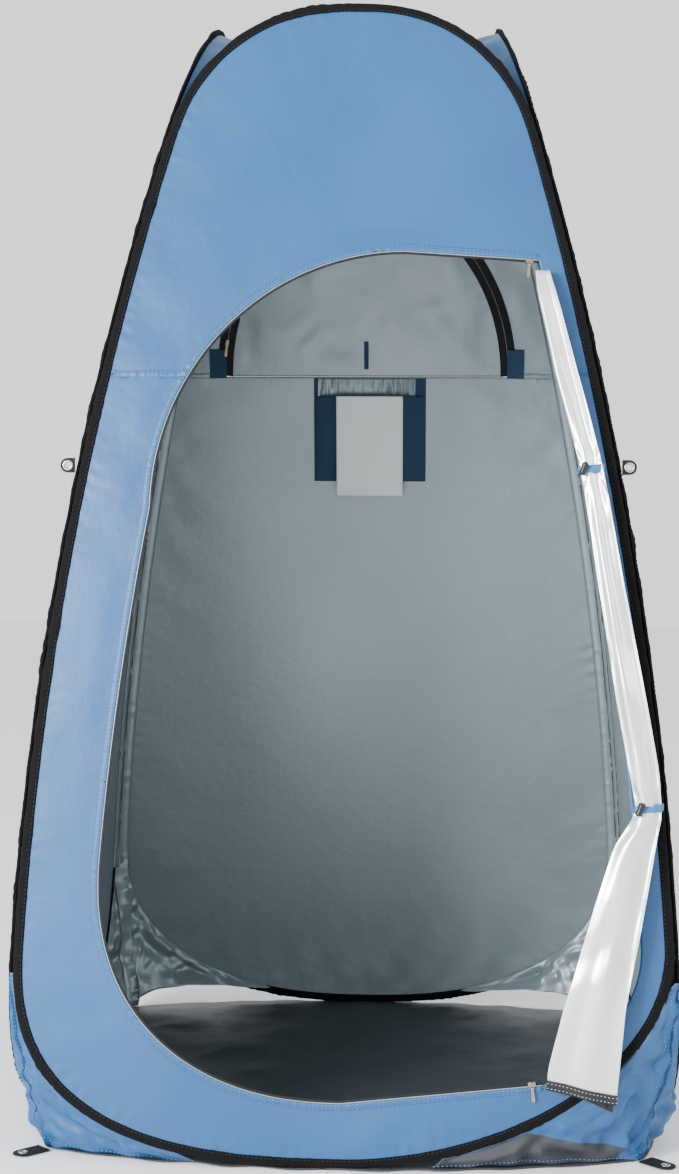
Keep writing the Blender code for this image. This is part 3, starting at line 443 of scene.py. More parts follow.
def add(tree, kind, inputs=None, **settings):
    """A node with its settings and its inputs, each one a value or another node's socket."""
    node = tree.nodes.new(kind)
    for key, value in settings.items():
        setattr(node, key, value)
    for key, value in (inputs or {}).items():
        if isinstance(value, bpy.types.NodeSocket):
            tree.links.new(value, node.inputs[key])
        else:
            node.inputs[key].default_value = value
    return node


def linear(code):
    """A colour from its sRGB hex code."""
    channels = [int(code[i:i + 2], 16) / 255 for i in (1, 3, 5)]
    return (*[c / 12.92 if c <= 0.04045 else ((c + 0.055) / 1.055) ** 2.4 for c in channels], 1.0)


def new_finish(name, **values):
    """A material with its Principled shader's own values, and its node tree."""
    made = bpy.data.materials.new(name)
    made.use_nodes = True
    shader = made.node_tree.nodes["Principled BSDF"]
    for key, value in values.items():
        shader.inputs[key.replace("_", " ")].default_value = value
    return made, made.node_tree, shader


def tint(tree, shader, factor, shades):
    """The shader's colour, mixed from two shades by a factor."""
    colour = add(tree, "ShaderNodeMix", data_type="RGBA")
    tree.links.new(factor, colour.inputs["Factor"])
    for socket, shade in zip(MIX_SHADES, shades):
        colour.inputs[socket].default_value = linear(shade)
    tree.links.new(colour.outputs[MIX_RESULT], shader.inputs["Base Color"])


def cloth_finish(name, shades, thread, roughness, weave=0.15, crease=0.35, slub=0.25, **values):
    """Woven cloth: two shades in soft patches, slubbed threads, a weave and fine creases in its bump."""
    made, tree, shader = new_finish(name, **values)
    flat = add(tree, "ShaderNodeUVMap", uv_map="cut").outputs["UV"]
    place = add(tree, "ShaderNodeTexCoord").outputs["Object"]
    patches = add(tree, "ShaderNodeTexNoise", {"Vector": place, "Scale": 3.0, "Detail": 2.0}).outputs["Fac"]
    narrow, long = 1 / (2 * thread), 1 / (40 * thread)
    ways = [add(tree, "ShaderNodeMapping", {"Vector": flat, "Scale": scale}).outputs["Vector"]
            for scale in ((narrow, long, 1), (long, narrow, 1))]
    slubs = [add(tree, "ShaderNodeTexNoise", {"Vector": way, "Scale": 1.0, "Detail": 2.0}) for way in ways]
    streak = add(tree, "ShaderNodeMath", {0: slubs[0].outputs["Fac"], 1: slubs[1].outputs["Fac"]},
                 operation="ADD").outputs["Value"]
    streak = add(tree, "ShaderNodeMath", {0: streak, 1: -1.0}, operation="ADD").outputs["Value"]
    tone = add(tree, "ShaderNodeMath", {0: streak, 1: slub, 2: patches}, operation="MULTIPLY_ADD")
    tone = tone.outputs["Value"]
    spread = add(tree, "ShaderNodeMapRange", {"Value": tone, "From Min": 0.15, "From Max": 0.85})
    tint(tree, shader, spread.outputs["Result"], shades)
    rough = add(tree, "ShaderNodeMapRange", {
        "Value": tone, "From Min": 0.2, "From Max": 0.8,
        "To Min": roughness - 0.07, "To Max": roughness + 0.07})
    tree.links.new(rough.outputs["Result"], shader.inputs["Roughness"])
    bands = [add(tree, "ShaderNodeTexWave", {"Vector": flat, "Scale": TAU / 20 / thread},
                 bands_direction=axis).outputs["Fac"] for axis in "XY"]
    woven = add(tree, "ShaderNodeMath", {0: bands[0], 1: bands[1]}, operation="MULTIPLY").outputs["Value"]
    fine = add(tree, "ShaderNodeTexNoise", {"Vector": place, "Scale": 45.0, "Detail": 4.0,
                                            "Roughness": 0.6}).outputs["Fac"]
    grain = add(tree, "ShaderNodeBump", {"Height": woven, "Strength": weave, "Distance": thread})
    creased = add(tree, "ShaderNodeBump", {"Height": fine, "Strength": crease, "Distance": 2 * MM,
                                           "Normal": grain.outputs["Normal"]})
    tree.links.new(creased.outputs["Normal"], shader.inputs["Normal"])
    return made


def solid_finish(name, shades, roughness, grain, depth, **values):
    """Metal or plastic: a shade that shifts a little, and a grain of one size in its roughness and bump."""
    made, tree, shader = new_finish(name, **values)
    place = add(tree, "ShaderNodeTexCoord").outputs["Object"]
    marks = add(tree, "ShaderNodeTexNoise", {"Vector": place, "Scale": 1 / grain, "Detail": 3.0})
    marks = marks.outputs["Fac"]
    cloud = add(tree, "ShaderNodeTexNoise", {"Vector": place, "Scale": 60.0}).outputs["Fac"]
    tint(tree, shader, cloud, shades)
    rough = add(tree, "ShaderNodeMapRange", {
        "Value": marks, "To Min": roughness - 0.08, "To Max": roughness + 0.08})
    tree.links.new(rough.outputs["Result"], shader.inputs["Roughness"])
    bump = add(tree, "ShaderNodeBump", {"Height": marks, "Strength": 0.3, "Distance": depth})
    tree.links.new(bump.outputs["Normal"], shader.inputs["Normal"])
    return made


# Polyurethane-coated polyester taffeta: smooth and slightly glossy, so folds catch soft highlights.
TAFFETA = cloth_finish("blue_coated_taffeta", ("#154A7B", "#1D5587"), 0.9 * MM, 0.42)
# The same taffeta with a sprayed silver coating: grey, with a dull metallic glow.
SILVER = cloth_finish("silver_coated_taffeta", ("#87969B", "#93A1A7"), 0.9 * MM, 0.40, weave=0.05,
                      Metallic=0.4)
# The same silver coating on the door, glossier than on the walls, with painted light: its shades are far
# paler, standing in for the light that falls on the door.
PAINTED_LIT_SILVER = cloth_finish("bright_silver_coated_taffeta", ("#DDE1E2", "#ECEEEF"), 0.9 * MM, 0.30,
                             weave=0.02, crease=0.2, Metallic=0.6)
# Polyester grosgrain folded over the hoops: matt, ribbed and nearly black.
BINDING = cloth_finish("charcoal_grosgrain_binding", ("#060607", "#121214"), 1.6 * MM, 0.85, weave=0.8,
                       Specular_IOR_Level=0.15)
# Coated Oxford cloth of the groundsheet: dark, coarse threads under a soft gloss.
OXFORD = cloth_finish("dark_oxford_groundsheet", ("#23282E", "#32383F"), 1.2 * MM, 0.45, weave=0.5)
# Herringbone polyester tape that carries the zip's coil.
ZIP_TAPE = cloth_finish("black_zip_tape", ("#0E0E10", "#1C1C1F"), 0.8 * MM, 0.65, weave=0.6)
# Open polyester mesh and lining of the pocket, dyed navy.
NAVY = cloth_finish("navy_pocket_cloth", ("#2A4868", "#355677"), 1.4 * MM, 0.55, weave=0.9)
# Woven-edge satin label, left blank.
LABEL = cloth_finish("white_satin_label", ("#ECEDEF", "#F6F7F8"), 0.6 * MM, 0.45, weave=0.1, crease=0.2)
# Polypropylene webbing of the peg and guy tabs.
WEBBING = cloth_finish("black_webbing", ("#08080A", "#141417"), 1.8 * MM, 0.75, weave=1.0,
                       Specular_IOR_Level=0.25)
# Light blue taffeta on its bright side, for the ties.
TRIM = cloth_finish("light_blue_trim_taffeta", ("#265F90", "#316D9F"), 0.8 * MM, 0.45)
# Nylon coil of the zips, drawn with every second tooth.
COIL = solid_finish("black_nylon_coil", ("#151517", "#242427"), 0.35, 0.4 * MM, 0.05 * MM)
# Pale gold plated zinc of the sliders, die cast, with worn edges.
ZINC = solid_finish("champagne_plated_zinc", ("#94866A", "#B9AC90"), 0.28, 0.8 * MM, 0.05 * MM,
                    Metallic=1.0)
# Nickel-plated brass eyelets, pressed and brightly polished.
NICKEL = solid_finish("nickel_plated_brass", ("#A6A6A4", "#C2C2BF"), 0.25, 0.6 * MM, 0.03 * MM,
                      Metallic=1.0)
# Injection-moulded acetal toggles with a faint moulded grain.
ACETAL = solid_finish("black_acetal_toggle", ("#0F0F11", "#1B1B1E"), 0.38, 0.5 * MM, 0.05 * MM)
# Oiled spring steel of the hoops, hidden in their sleeves.
STEEL = solid_finish("oiled_spring_steel", ("#5E5F61", "#77787A"), 0.35, 0.5 * MM, 0.03 * MM,
                     Metallic=1.0)
# Polyester sewing thread in three colours.
BLUE_THREAD = solid_finish("blue_polyester_thread", ("#3D6C9C", "#5484B4"), 0.6, 0.3 * MM, 0.1 * MM)
BLACK_THREAD = solid_finish("black_polyester_thread", ("#0C0C0D", "#1E1E20"), 0.6, 0.3 * MM, 0.1 * MM)
PALE_THREAD = solid_finish("pale_polyester_thread", ("#9EA4A8", "#B4B9BC"), 0.6, 0.3 * MM, 0.1 * MM)


# ---- repeated small things ----
def row_tree():
    """A node group that sets one small bead after another along the edges of a mesh."""
    tree = bpy.data.node_groups.new("beads_along_lines", "GeometryNodeTree")
    tree.interface.new_socket("Geometry", in_out="INPUT", socket_type="NodeSocketGeometry")
    for name in ("Spacing", "Length", "Width"):
        tree.interface.new_socket(name, in_out="INPUT", socket_type="NodeSocketFloat")
    tree.interface.new_socket("Material", in_out="INPUT", socket_type="NodeSocketMaterial")
    tree.interface.new_socket("Geometry", in_out="OUTPUT", socket_type="NodeSocketGeometry")
    given = add(tree, "NodeGroupInput").outputs
    curve = add(tree, "GeometryNodeMeshToCurve", {"Mesh": given["Geometry"]}).outputs["Curve"]
    steps = add(tree, "GeometryNodeResampleCurve", {"Curve": curve, "Length": given["Spacing"]},
                mode="LENGTH")
    tangent = add(tree, "GeometryNodeInputTangent").outputs["Tangent"]
    turn = add(tree, "FunctionNodeAlignRotationToVector", {"Vector": tangent}, axis="X")
    bead = add(tree, "GeometryNodeMeshIcoSphere", {"Radius": 0.5, "Subdivisions": 1}).outputs["Mesh"]
    size = add(tree, "ShaderNodeCombineXYZ", {
        "X": given["Length"], "Y": given["Width"], "Z": given["Width"]})
    row = add(tree, "GeometryNodeInstanceOnPoints", {
        "Points": steps.outputs["Curve"], "Instance": bead,
        "Rotation": turn.outputs["Rotation"], "Scale": size.outputs["Vector"]})
    real = add(tree, "GeometryNodeRealizeInstances", {"Geometry": row.outputs["Instances"]})
    done = add(tree, "GeometryNodeSetMaterial", {
        "Geometry": real.outputs["Geometry"], "Material": given["Material"]})
    add(tree, "NodeGroupOutput", {"Geometry": done.outputs["Geometry"]})
    return tree


ROW_TREE = row_tree()


def beads(name, lines, spacing, length, width, finish, slot, body="root"):
    """Stitches or zip teeth along lines in space, as one plain mesh on one body."""
    mesh = bpy.data.meshes.new(name + "_lines")
    points, edges = [], []
    for line in lines:
        first = len(points)
        points += np.asarray(line).tolist()
        edges += [(i, i + 1) for i in range(first, len(points) - 1)]
    mesh.from_pydata(points, edges, [])
    source = link(bpy.data.objects.new(name + "_lines", mesh))
    modifier = source.modifiers.new("beads", "NODES")
    modifier.node_group = ROW_TREE
    values = {"Spacing": spacing, "Length": length, "Width": width, "Material": finish}
    for item in ROW_TREE.interface.items_tree:
        if item.in_out == "INPUT" and item.name in values:
            modifier[item.identifier] = values[item.name]
    bpy.context.view_layer.update()
    shown = source.evaluated_get(bpy.context.evaluated_depsgraph_get())
    made = link(bpy.data.objects.new(name, bpy.data.meshes.new_from_object(shown)))
    bpy.data.objects.remove(source)
    made.data.shade_smooth()
    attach(made, body)


# ---- hoops ----
CORNER_AFTER = {"front": "front_right", "right": "back_right", "back": "back_left", "left": "front_left"}


def half_hoop(wall, foot_power):
    """One side of a hoop's line, from the middle of its foot up to the middle of its arch."""
    turn = np.linspace(0, math.pi / 2, 49)
    cosine, sine = np.cos(turn).clip(0), np.sin(turn)
    foot_up = FOOT_RISE - (FOOT_RISE - FOOT_Z) * cosine ** (2 / foot_power)
    foot = np.stack(((wall.half(foot_up) - SLEEVE_INSET) * sine ** (2 / foot_power), foot_up), 1)
    up = np.linspace(FOOT_RISE, SHOULDER, 120)[1:-1]
    upright = np.stack((wall.half(up) - SLEEVE_INSET, up), 1)
    arch_up = SHOULDER + (ARCH_Z - SHOULDER) * sine ** (2 / ARCH_POWER)
    arch = np.stack(((wall.half(arch_up) - SLEEVE_INSET) * cosine ** (2 / ARCH_POWER), arch_up), 1)
    return np.vstack((foot, upright, arch))


def hoop_line(wall):
    """A hoop's whole line, anticlockwise seen from outside, from the middle of its foot."""
    left, right = (half_hoop(wall, foot_power) for foot_power in wall.powers)
    return np.vstack((right, left[1:-1][::-1] * (-1, 1)))


def make_binding(wall, seed):
    """The binding tape wrapped over a hoop, with the ridges that the coiled-up hoop twists into it."""
    line, run = resample(hoop_line(wall), 0.004, True)
    rows = []
    for angle in np.radians(np.linspace(168, -168, 17)):
        cosine, sine = math.cos(angle), math.sin(angle)
        twisted = np.abs(ripples(run + angle * 0.010, run * 0, seed, (0.020, 0.052)))
        swollen = ripples(run, run * 0, seed + 9, (0.05, 0.12))
        grow = (0.0019 * twisted + 0.0008 * swollen - 0.0008) * (1 - (angle / math.pi) ** 6)
        grow *= 0.4 if sine < -0.1 else 1.0
        right = SLEEVE_HALF * power(cosine, 0.8) + cosine * grow
        out = SLEEVE_DEPTH / 2 * power(sine, 0.8) + sine * grow
        rows.append(wall.place(offset(line, right, True), out))
    rows = np.array(rows)
    widths = run_along(rows[:, 0])
    uv = np.stack(np.meshgrid(run, widths), -1)
    made = piece(f"{wall.name}_hoop_binding", rows, grid_faces(len(rows), len(line), False, True), BINDING,
                 slot="binding", uv=uv, thick=THIN_CLOTH)
    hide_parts(f"{wall.name}_hoop_sleeve")
    stitched = offset(line, -SLEEVE_HALF + 0.003, True)
    closed = np.vstack((stitched, stitched[:1]))
    return [wall.place(closed, SLEEVE_DEPTH / 2 - 0.0002), wall.place(closed, -SLEEVE_DEPTH / 2 + 0.0002)]


def make_corner(wall, following, seed):
    """The cloth that joins two walls inside their hoops, with a dark line where the hoops meet."""
    ups = np.linspace(0.285, SHOULDER + ROOF_START + 0.012, 300)
    rows = []
    for face, side, order in ((wall, 1, 1), (following, -1, -1)):
        hoop = half_hoop(face, face.powers[1] if side > 0 else face.powers[0])
        across = np.interp(ups, hoop[:, 1], hoop[:, 0])
        pucker = 0.0009 * ripples(ups, ups * 0, seed + side, (0.008, 0.020))
        part = []
        for past, out in CORNER_JOIN:
            part.append(face.place(np.stack((side * (across + past), ups), 1), out - np.abs(pucker)))
        rows += part[::order]
    uv = np.stack(np.meshgrid(ups, np.arange(len(rows)) * 0.005), -1)
    name = f"corner_join_{CORNER_AFTER[wall.name]}"
    faces = grid_faces(len(rows), len(ups))
    made = piece(name, rows, [face[::-1] for face in faces], SILVER, slot="lining_cloth", uv=uv,
                 lining=BINDING, thick=THIN_CLOTH)
    return (rows[len(CORNER_JOIN) - 1] + rows[len(CORNER_JOIN)]) / 2


def wall_outline(wall):
    """The edge of a wall's cloth, caught inside its hoop's binding."""
    line = resample(hoop_line(wall), EDGE_STEP, True)[0]
    return offset(line, CLOTH_GRIP - SLEEVE_HALF, True)


# ---- doorway ----
def hinge_edge():
    """The doorway's plain edge, from the sill up to the head."""
    line = half_hoop(FRONT, FRONT.powers[1])
    near = offset(line, -DOOR_HINGE_EDGE)
    rising = near[np.argmax(near[:, 0] > 0.2):]
    ups = np.linspace(SILL_END, HEAD_END, 260)
    return np.stack((np.interp(ups, rising[:, 1], rising[:, 0]), ups), 1)


def zipped_edge():
    """The doorway's zipped edge, from the hinge end of its sill round to the hinge end of its head."""
    shoulder = DOOR_TOP - DOOR_SHOULDER
    hinge = hinge_edge()
    share = np.linspace(1, 0, 60, endpoint=False)
    sill = np.stack((hinge[0][0] * share, DOOR_SILL + DOOR_SILL_RISE * share), 1)
    turn = np.linspace(0, math.pi / 2, 49)
    cosine, sine = np.cos(turn).clip(0), np.sin(turn)
    up = DOOR_FOOT - (DOOR_FOOT - DOOR_SILL) * cosine ** (2 / DOOR_FOOT_POWER)
    foot = np.stack(((DOOR_EDGE - FRONT.half(up)) * sine ** (2 / DOOR_FOOT_POWER), up), 1)
    up = np.linspace(DOOR_FOOT, shoulder, 80)[1:-1]
    side = np.stack((DOOR_EDGE - FRONT.half(up), up), 1)
    reach = DOOR_CROWN + FRONT.half(shoulder) - DOOR_EDGE
    head = np.stack((DOOR_CROWN - reach * cosine, shoulder + DOOR_SHOULDER * sine), 1)
    return resample(np.vstack((sill, foot, side, head, hinge[-1:])), EDGE_STEP)[0]


def doorway():
    """The whole doorway, anticlockwise seen from outside."""
    hinge = resample(hinge_edge(), EDGE_STEP)[0]
    return np.vstack((hinge[:-1], zipped_edge()[::-1][:-1]))


def window_arch():
    """The middle of the window's zip, from its right foot over to its left, seen from outside."""
    turn = np.linspace(0, math.pi, 200)
    arch = np.stack((WINDOW_HALF * np.cos(turn), BACK.seam + WINDOW_RISE * np.sin(turn)), 1)
    return resample(arch, EDGE_STEP)[0]


def window_loop(distance, foot_up):
    """The outline of an arch at a distance to the right of the zip's middle, with a straight foot."""
    edge = offset(window_arch(), distance)
    edge[:, 1] = np.maximum(edge[:, 1], foot_up)
    foot = np.linspace(edge[-1][0], edge[0][0], 120)[1:-1]
    return np.vstack((edge, np.stack((foot, np.full(len(foot), foot_up)), 1)))


# ---- walls ----
def wall_relief(wall, flat, loops, seed):
    """How far a wall's cloth stands out: taut, with puckers at its edges and its seam."""
    run, away = nearest(flat, loops[0])
    relief = 0.0013 * ripples(run, away, seed, (0.018, 0.045), 0.5) * np.exp(-away / 0.022)
    relief += 0.0024 * ripples(run, away, seed + 3, (0.09, 0.20), 0.8) * np.exp(-away / 0.075) * (
        (away - 0.012) / 0.03).clip(0, 1)
    relief += 0.0030 * swell(flat, seed + 5, (0.35, 0.90)) * (1 - np.exp(-away / 0.12))
    hoop = away
    for i, loop in enumerate(loops[1:]):
        run, edge = nearest(flat, loop)
        relief += 0.0018 * ripples(run, edge, seed + 30 + i, (0.08, 0.18), 0.6) * np.exp(-edge / 0.06)
        relief *= ((edge - 0.013) / 0.03).clip(0, 1)
        relief += 0.0009 * ripples(run, edge, seed + 20 + i, (0.010, 0.022), 0.3) * np.exp(
            -edge / 0.014) * ((edge - 0.010) / 0.006).clip(0, 1)
        away = np.minimum(away, edge)
        share = hoop / (hoop + edge)
        slack = 4 * share * (1 - share) * np.exp(-((hoop + edge) / 0.075) ** 4)
        relief += 0.0026 * np.abs(ripples(flat[:, 1] + 0.9 * hoop, hoop, seed + 60, (0.016, 0.040))) * slack
    seam = np.abs(flat[:, 1] - wall.seam)
    pucker = ripples(flat[:, 0], seam, seed + 40, (0.008, 0.020), 0.25)
    lap = 0.0007 * pucker * np.exp(-seam / 0.011) - 0.0012 * np.exp(-seam / 0.02)
    relief += lap * away.clip(0, 0.02) / 0.02
    return relief * ((away - 0.003) / 0.008).clip(0, 1)


def make_wall(wall, holes, seed):
    """A wall's lower and upper cloth, joined by a lapped seam with two rows of stitches."""
    loops = [wall_outline(wall)] + holes
    flat, faces = fill(loops, wall.seam)
    relief = wall_relief(wall, flat, loops, seed)
    points = wall.place(flat, CLOTH / 2 + relief)
    lower = flat[faces].mean(1)[:, 1] < wall.seam
    for part, chosen in (("lower", lower), ("upper", ~lower)):
        used, packed = part_of(flat, faces, chosen)
        made = piece(f"{wall.name}_{part}_cloth", points[used], packed, TAFFETA, slot="shell_cloth",
                     uv=flat[used], lining=SILVER, thick=CLOTH)
        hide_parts(f"{wall.name}_{part}_panel")
        size, area = cut_size(flat[used], packed)
    return seam_lines(wall, flat, relief, loops, seed)


def seam_lines(wall, flat, relief, loops, seed):
    """The lapped seam of a wall, and the lines that its stitches follow."""
    on_seam = np.abs(flat[:, 1] - wall.seam) < 1e-6
    order = np.argsort(flat[on_seam][:, 0])
    line, height = flat[on_seam][order], relief[on_seam][order]
    breaks = np.where(np.diff(line[:, 0]) > 4 * EDGE_STEP)[0] + 1
    stitches = []
    for i, (part, high) in enumerate(zip(np.split(line, breaks), np.split(height, breaks))):
        part, high = part[2:-2], high[2:-2]
        if len(part) < 8:
            continue

        def rise(run, right, high=high):
            return high + 0.0004 * ripples(run, run * 0, seed + 50, (0.006, 0.012))

        for side, facing in ((1, "outer"), (-1, "inner")):
            finish = TAFFETA if side > 0 else SILVER
            section = [(right, out * side + (CLOTH / 2) * side) for right, out in SEAM_LAP]
            if side < 0:
                section.reverse()
            strip(f"{wall.name}_seam_{facing}_{i}", wall, part, section, finish, rise=rise,
                  slot="shell_cloth" if side > 0 else "lining_cloth")
            for right in (-0.003, 0.003):
                moved = offset(part, right)
                stitches.append(wall.place(moved, high + side * (CLOTH / 2 + 0.0013)))
    return stitches


# ---- groundsheet, gussets and roof ----
def corner_reach(wall):
    """How far the floor's corner is across and in front of a wall's middle."""
    return FLOOR_CORNER[::-1] if wall in (LEFT, RIGHT) else FLOOR_CORNER


def ground_line(wall, share):
    """The floor's edge under a wall, in its frame: 0 at the middle of the foot, 1 at the corner."""
    across, distance = corner_reach(wall)
    bow = np.cos(math.pi / 2 * np.minimum(share, 1)).clip(0) ** 0.8
    return across * share, distance + (wall.reach(0.0) - distance) * bow


def make_groundsheet():
    """The groundsheet: one sheet with packing creases, and a wavy edge that shows under the front hoop."""
    outline = []
    for wall in WALLS:
        side = np.linspace(-1, 1, 120)[1:]
        across, distance = ground_line(wall, np.abs(side))
        lip = 0.006 + 0.004 * ripples(side * 0.5, side * 0, 71, (0.09, 0.20))
        local = np.stack((np.sign(side) * across, -distance - lip * (1 - side ** 8)), 1)
        outline.append(local @ wall.axes[:2, :2])
    loop = resample(np.vstack(outline), EDGE_STEP * 2, True)[0]
    flat, faces = fill([loop])
    creases = 0.5 + 0.5 * crumple(flat, 72, (0.10, 0.35), 8)
    away = nearest(flat, loop)[1]
    high = 0.0020 + 0.0065 * creases.clip(0, 1) * (away / 0.05).clip(0.25, 1)
    high += 0.0008 * (0.5 + 0.5 * crumple(flat, 73, (0.03, 0.08), 6).clip(-1, 1))
    used, packed = part_of(flat, faces, np.ones(len(faces), bool))
    made = piece("groundsheet_cloth", np.column_stack((flat, high))[used], packed, OXFORD,
                 slot="floor_cloth", uv=flat[used], thick=0.0010)
    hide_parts("groundsheet")
    size, area = cut_size(flat[used], packed)


def gusset_side(wall, side, count):
    """The upper and lower ends of a gusset's columns along one hoop's foot, from its low end to its top."""
    edge = half_hoop(wall, wall.powers[1] if side > 0 else wall.powers[0])
    edge = offset(edge, GUSSET_CLEAR)
    edge = edge[(edge[:, 1] > GUSSET_LOW * 0.7) & (edge[:, 1] < GUSSET_TOP)]
    upright = half_hoop(wall, FOOT_POWER)
    corner = np.interp(GUSSET_TOP, upright[:, 1], upright[:, 0]) + GUSSET_CLEAR
    edge = np.vstack((edge, [(corner, GUSSET_TOP)]))
    edge = resample(edge, 0.003)[0]
    edge = edge[np.linspace(0, len(edge) - 1, count).astype(int)]
    share = np.minimum(edge[:, 0] / wall.half(edge[:, 1]), 0.97)
    across, distance = ground_line(wall, share)
    top = wall.place(edge * (side, 1))
    if wall is BACK:
        inner = offset(edge, -2 * SLEEVE_HALF - 0.003)
        top = wall.place(inner * (side, 1), -SLEEVE_DEPTH / 2 - 0.0016)
    foot = np.column_stack((side * across, -distance, np.full(count, FLOOR_TOP))) @ wall.axes
    return top, foot


def lift_back_foot(top, foot):
    """A back gusset's foot, drawn up off the ground in the middle and up to its hoop at the low end."""
    along = np.linspace(0, 1, len(foot))
    foot[:, 2] += 0.034 * np.sin(math.pi * along).clip(0) ** 0.7
    foot[:, 2] += (top[:, 2] - 0.0065 - foot[:, 2]) * (1 - along) ** 5


def make_gusset(wall, following, seed):
    """The crumpled cloth between two hoops' feet and the ground, with a hem and a corner seam."""
    count, rows, split = 66, 34, 12
    top_a, foot_a = gusset_side(wall, 1, count)
    top_b, foot_b = gusset_side(following, -1, count)
    if wall is BACK:
        lift_back_foot(top_a, foot_a)
    if following is BACK:
        lift_back_foot(top_b, foot_b)
    across, distance = corner_reach(wall)
    top_c = wall.place([(wall.half(GUSSET_TOP), GUSSET_TOP)])
    foot_c = np.array([(across, -distance, FLOOR_TOP)]) @ wall.axes
    tops = np.vstack((top_a, top_c, top_b[::-1]))
    feet = np.vstack((foot_a, foot_c, foot_b[::-1]))
    border = np.full(len(feet), split / (rows - 1))
    if wall is FRONT:
        slope = 0.068 - 0.2 * (foot_a[:, 0] - SKIRT_START)
        border[:count] = ((slope - foot_a[:, 2]) / (top_a[:, 2] - foot_a[:, 2])).clip(0.12, 0.97)
    above = border + (1 - border) * np.linspace(0, 1, rows - split)[1:, None]
    share = np.vstack((border * np.linspace(0, 1, split + 1)[:, None], above))
    grid = feet + (tops - feet) * share[..., None]
    run = run_along(feet)
    drop = np.linalg.norm(tops - feet, axis=1)
    uv = np.stack((np.broadcast_to(run, (rows, len(run))), share * drop), -1)
    flat = uv.reshape(-1, 2)
    away = np.minimum(share, 1 - share) * drop
    ends = np.minimum(1, np.minimum(run, run[-1] - run) / 0.04)
    middle = np.minimum(1.0, away / 0.03) * ends
    height = 0.0130 * crumple(flat, seed, (0.06, 0.20), 8) + 0.0030 * swell(flat, seed + 3, (0.03, 0.08))
    height += 0.0040 * crumple(flat, seed + 5, (0.025, 0.06), 6)
    height = height.reshape(rows, -1) * middle + 0.006 * np.sin(math.pi * share) * middle
    outward = unit(grid * (1, 1, 0))
    grid = grid + outward * height[..., None]
    hem = np.sin(TAU * run / 0.07 + seed) * np.exp(-share * drop / 0.03) * 0.003
    grid = grid + outward * (hem * ends)[..., None]
    corner = CORNER_AFTER[wall.name]
    faces = [face[::-1] for face in grid_faces(rows, len(run))]
    made = piece(f"gusset_{corner}_cloth", grid, faces, TAFFETA, slot="shell_cloth", uv=uv,
                 lining=SILVER, thick=CLOTH)
    if wall is FRONT:
        made.data.materials.append(OXFORD)
        made.data.materials.append(OXFORD)      # a slot's inner side takes the slot after it
        for k, polygon in enumerate(made.data.polygons):
            row, column = divmod(k, len(run) - 1)
            dark = row < split and column < count - 1 and feet[column, 0] < SKIRT_END
            polygon.material_index = 2 if dark else 0
    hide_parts(f"gusset_{corner}")
    hem_line = grid[2] + outward[0] * 0.0006
    beside = [grid[:, count + k] + outward[:, count + k] * 0.0008 for k in (-2, 2)]
    return [hem_line] + beside


def make_roof():
    """The roof cloth, drawn from the four arches to its dipped middle, with soft folds."""
    ring = []
    up = SHOULDER + ROOF_START
    inset = 0.0072
    for wall in WALLS:
        half = half_hoop(wall, FOOT_POWER)
        arch = half[half[:, 1] > up]
        line = np.vstack((arch[:-1] * (-1, 1), arch[::-1]))
        line = resample(line, 0.008)[0]
        ring.append(wall.place(line, -SLEEVE_DEPTH / 2 - 0.001))
        ring.append(wall.place([(wall.half(up) - inset, up)], -inset))
    ring = np.vstack(ring)
    middle = np.array((0, 0, HEIGHT - ROOF_DIP))
    rows = 40
    share = (np.linspace(0, 1, rows, endpoint=False) ** 1.3)[:, None, None]
    grid = ring + (middle - ring) * share
    grid[..., 2] -= (4 * share * (1 - share))[..., 0] * ROOF_SAG
    run = run_along(ring)
    length = np.linalg.norm(ring - middle, axis=1)
    uv = np.stack((np.broadcast_to(run, (rows, len(run))), share[..., 0] * length), -1)
    flat = grid[..., :2].reshape(-1, 2)
    fold = ripples(np.tile(run, rows), uv[..., 1].ravel(), 81, (0.05, 0.12), 0.2).reshape(rows, -1)
    away = uv[..., 1]
    high = 0.0030 * fold * np.exp(-away / 0.07) + 0.0022 * crumple(flat, 82, (0.06, 0.18)).reshape(rows, -1)
    grid[..., 2] += high * np.minimum(1, away / 0.02) - 0.001
    points = np.vstack((grid.reshape(-1, 3), middle + (0, 0, grid[-1, :, 2].mean() - middle[2])))
    faces = grid_faces(rows, len(run), False, True)
    last = (rows - 1) * len(run)
    faces += [[last + i, len(points) - 1, last + (i + 1) % len(run)] for i in range(len(run))]
    faces = [face[::-1] for face in faces]
    uv = np.vstack((uv.reshape(-1, 2), [(0, length.mean())]))
    made = piece("roof_cloth", points, faces, TAFFETA, slot="shell_cloth", uv=uv, lining=SILVER,
                 thick=CLOTH)
    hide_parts("roof_panel")


# ---- door ----
def flap_rows(shares):
    """The gathered door at shares of the doorway's height: heights, middles, half widths and depths."""
    inset, half, deep = (np.interp(shares, FLAP_STATIONS[:, 0], FLAP_STATIONS[:, k]) for k in (1, 2, 3))
    soft = np.hanning(9) / np.hanning(9).sum()
    inset, half, deep = (np.convolve(np.pad(v, 4, mode="edge"), soft, "valid") for v in (inset, half, deep))
    up = SILL_END + (HEAD_END - SILL_END) * shares
    return up, FRONT.half(up) - inset, half, deep


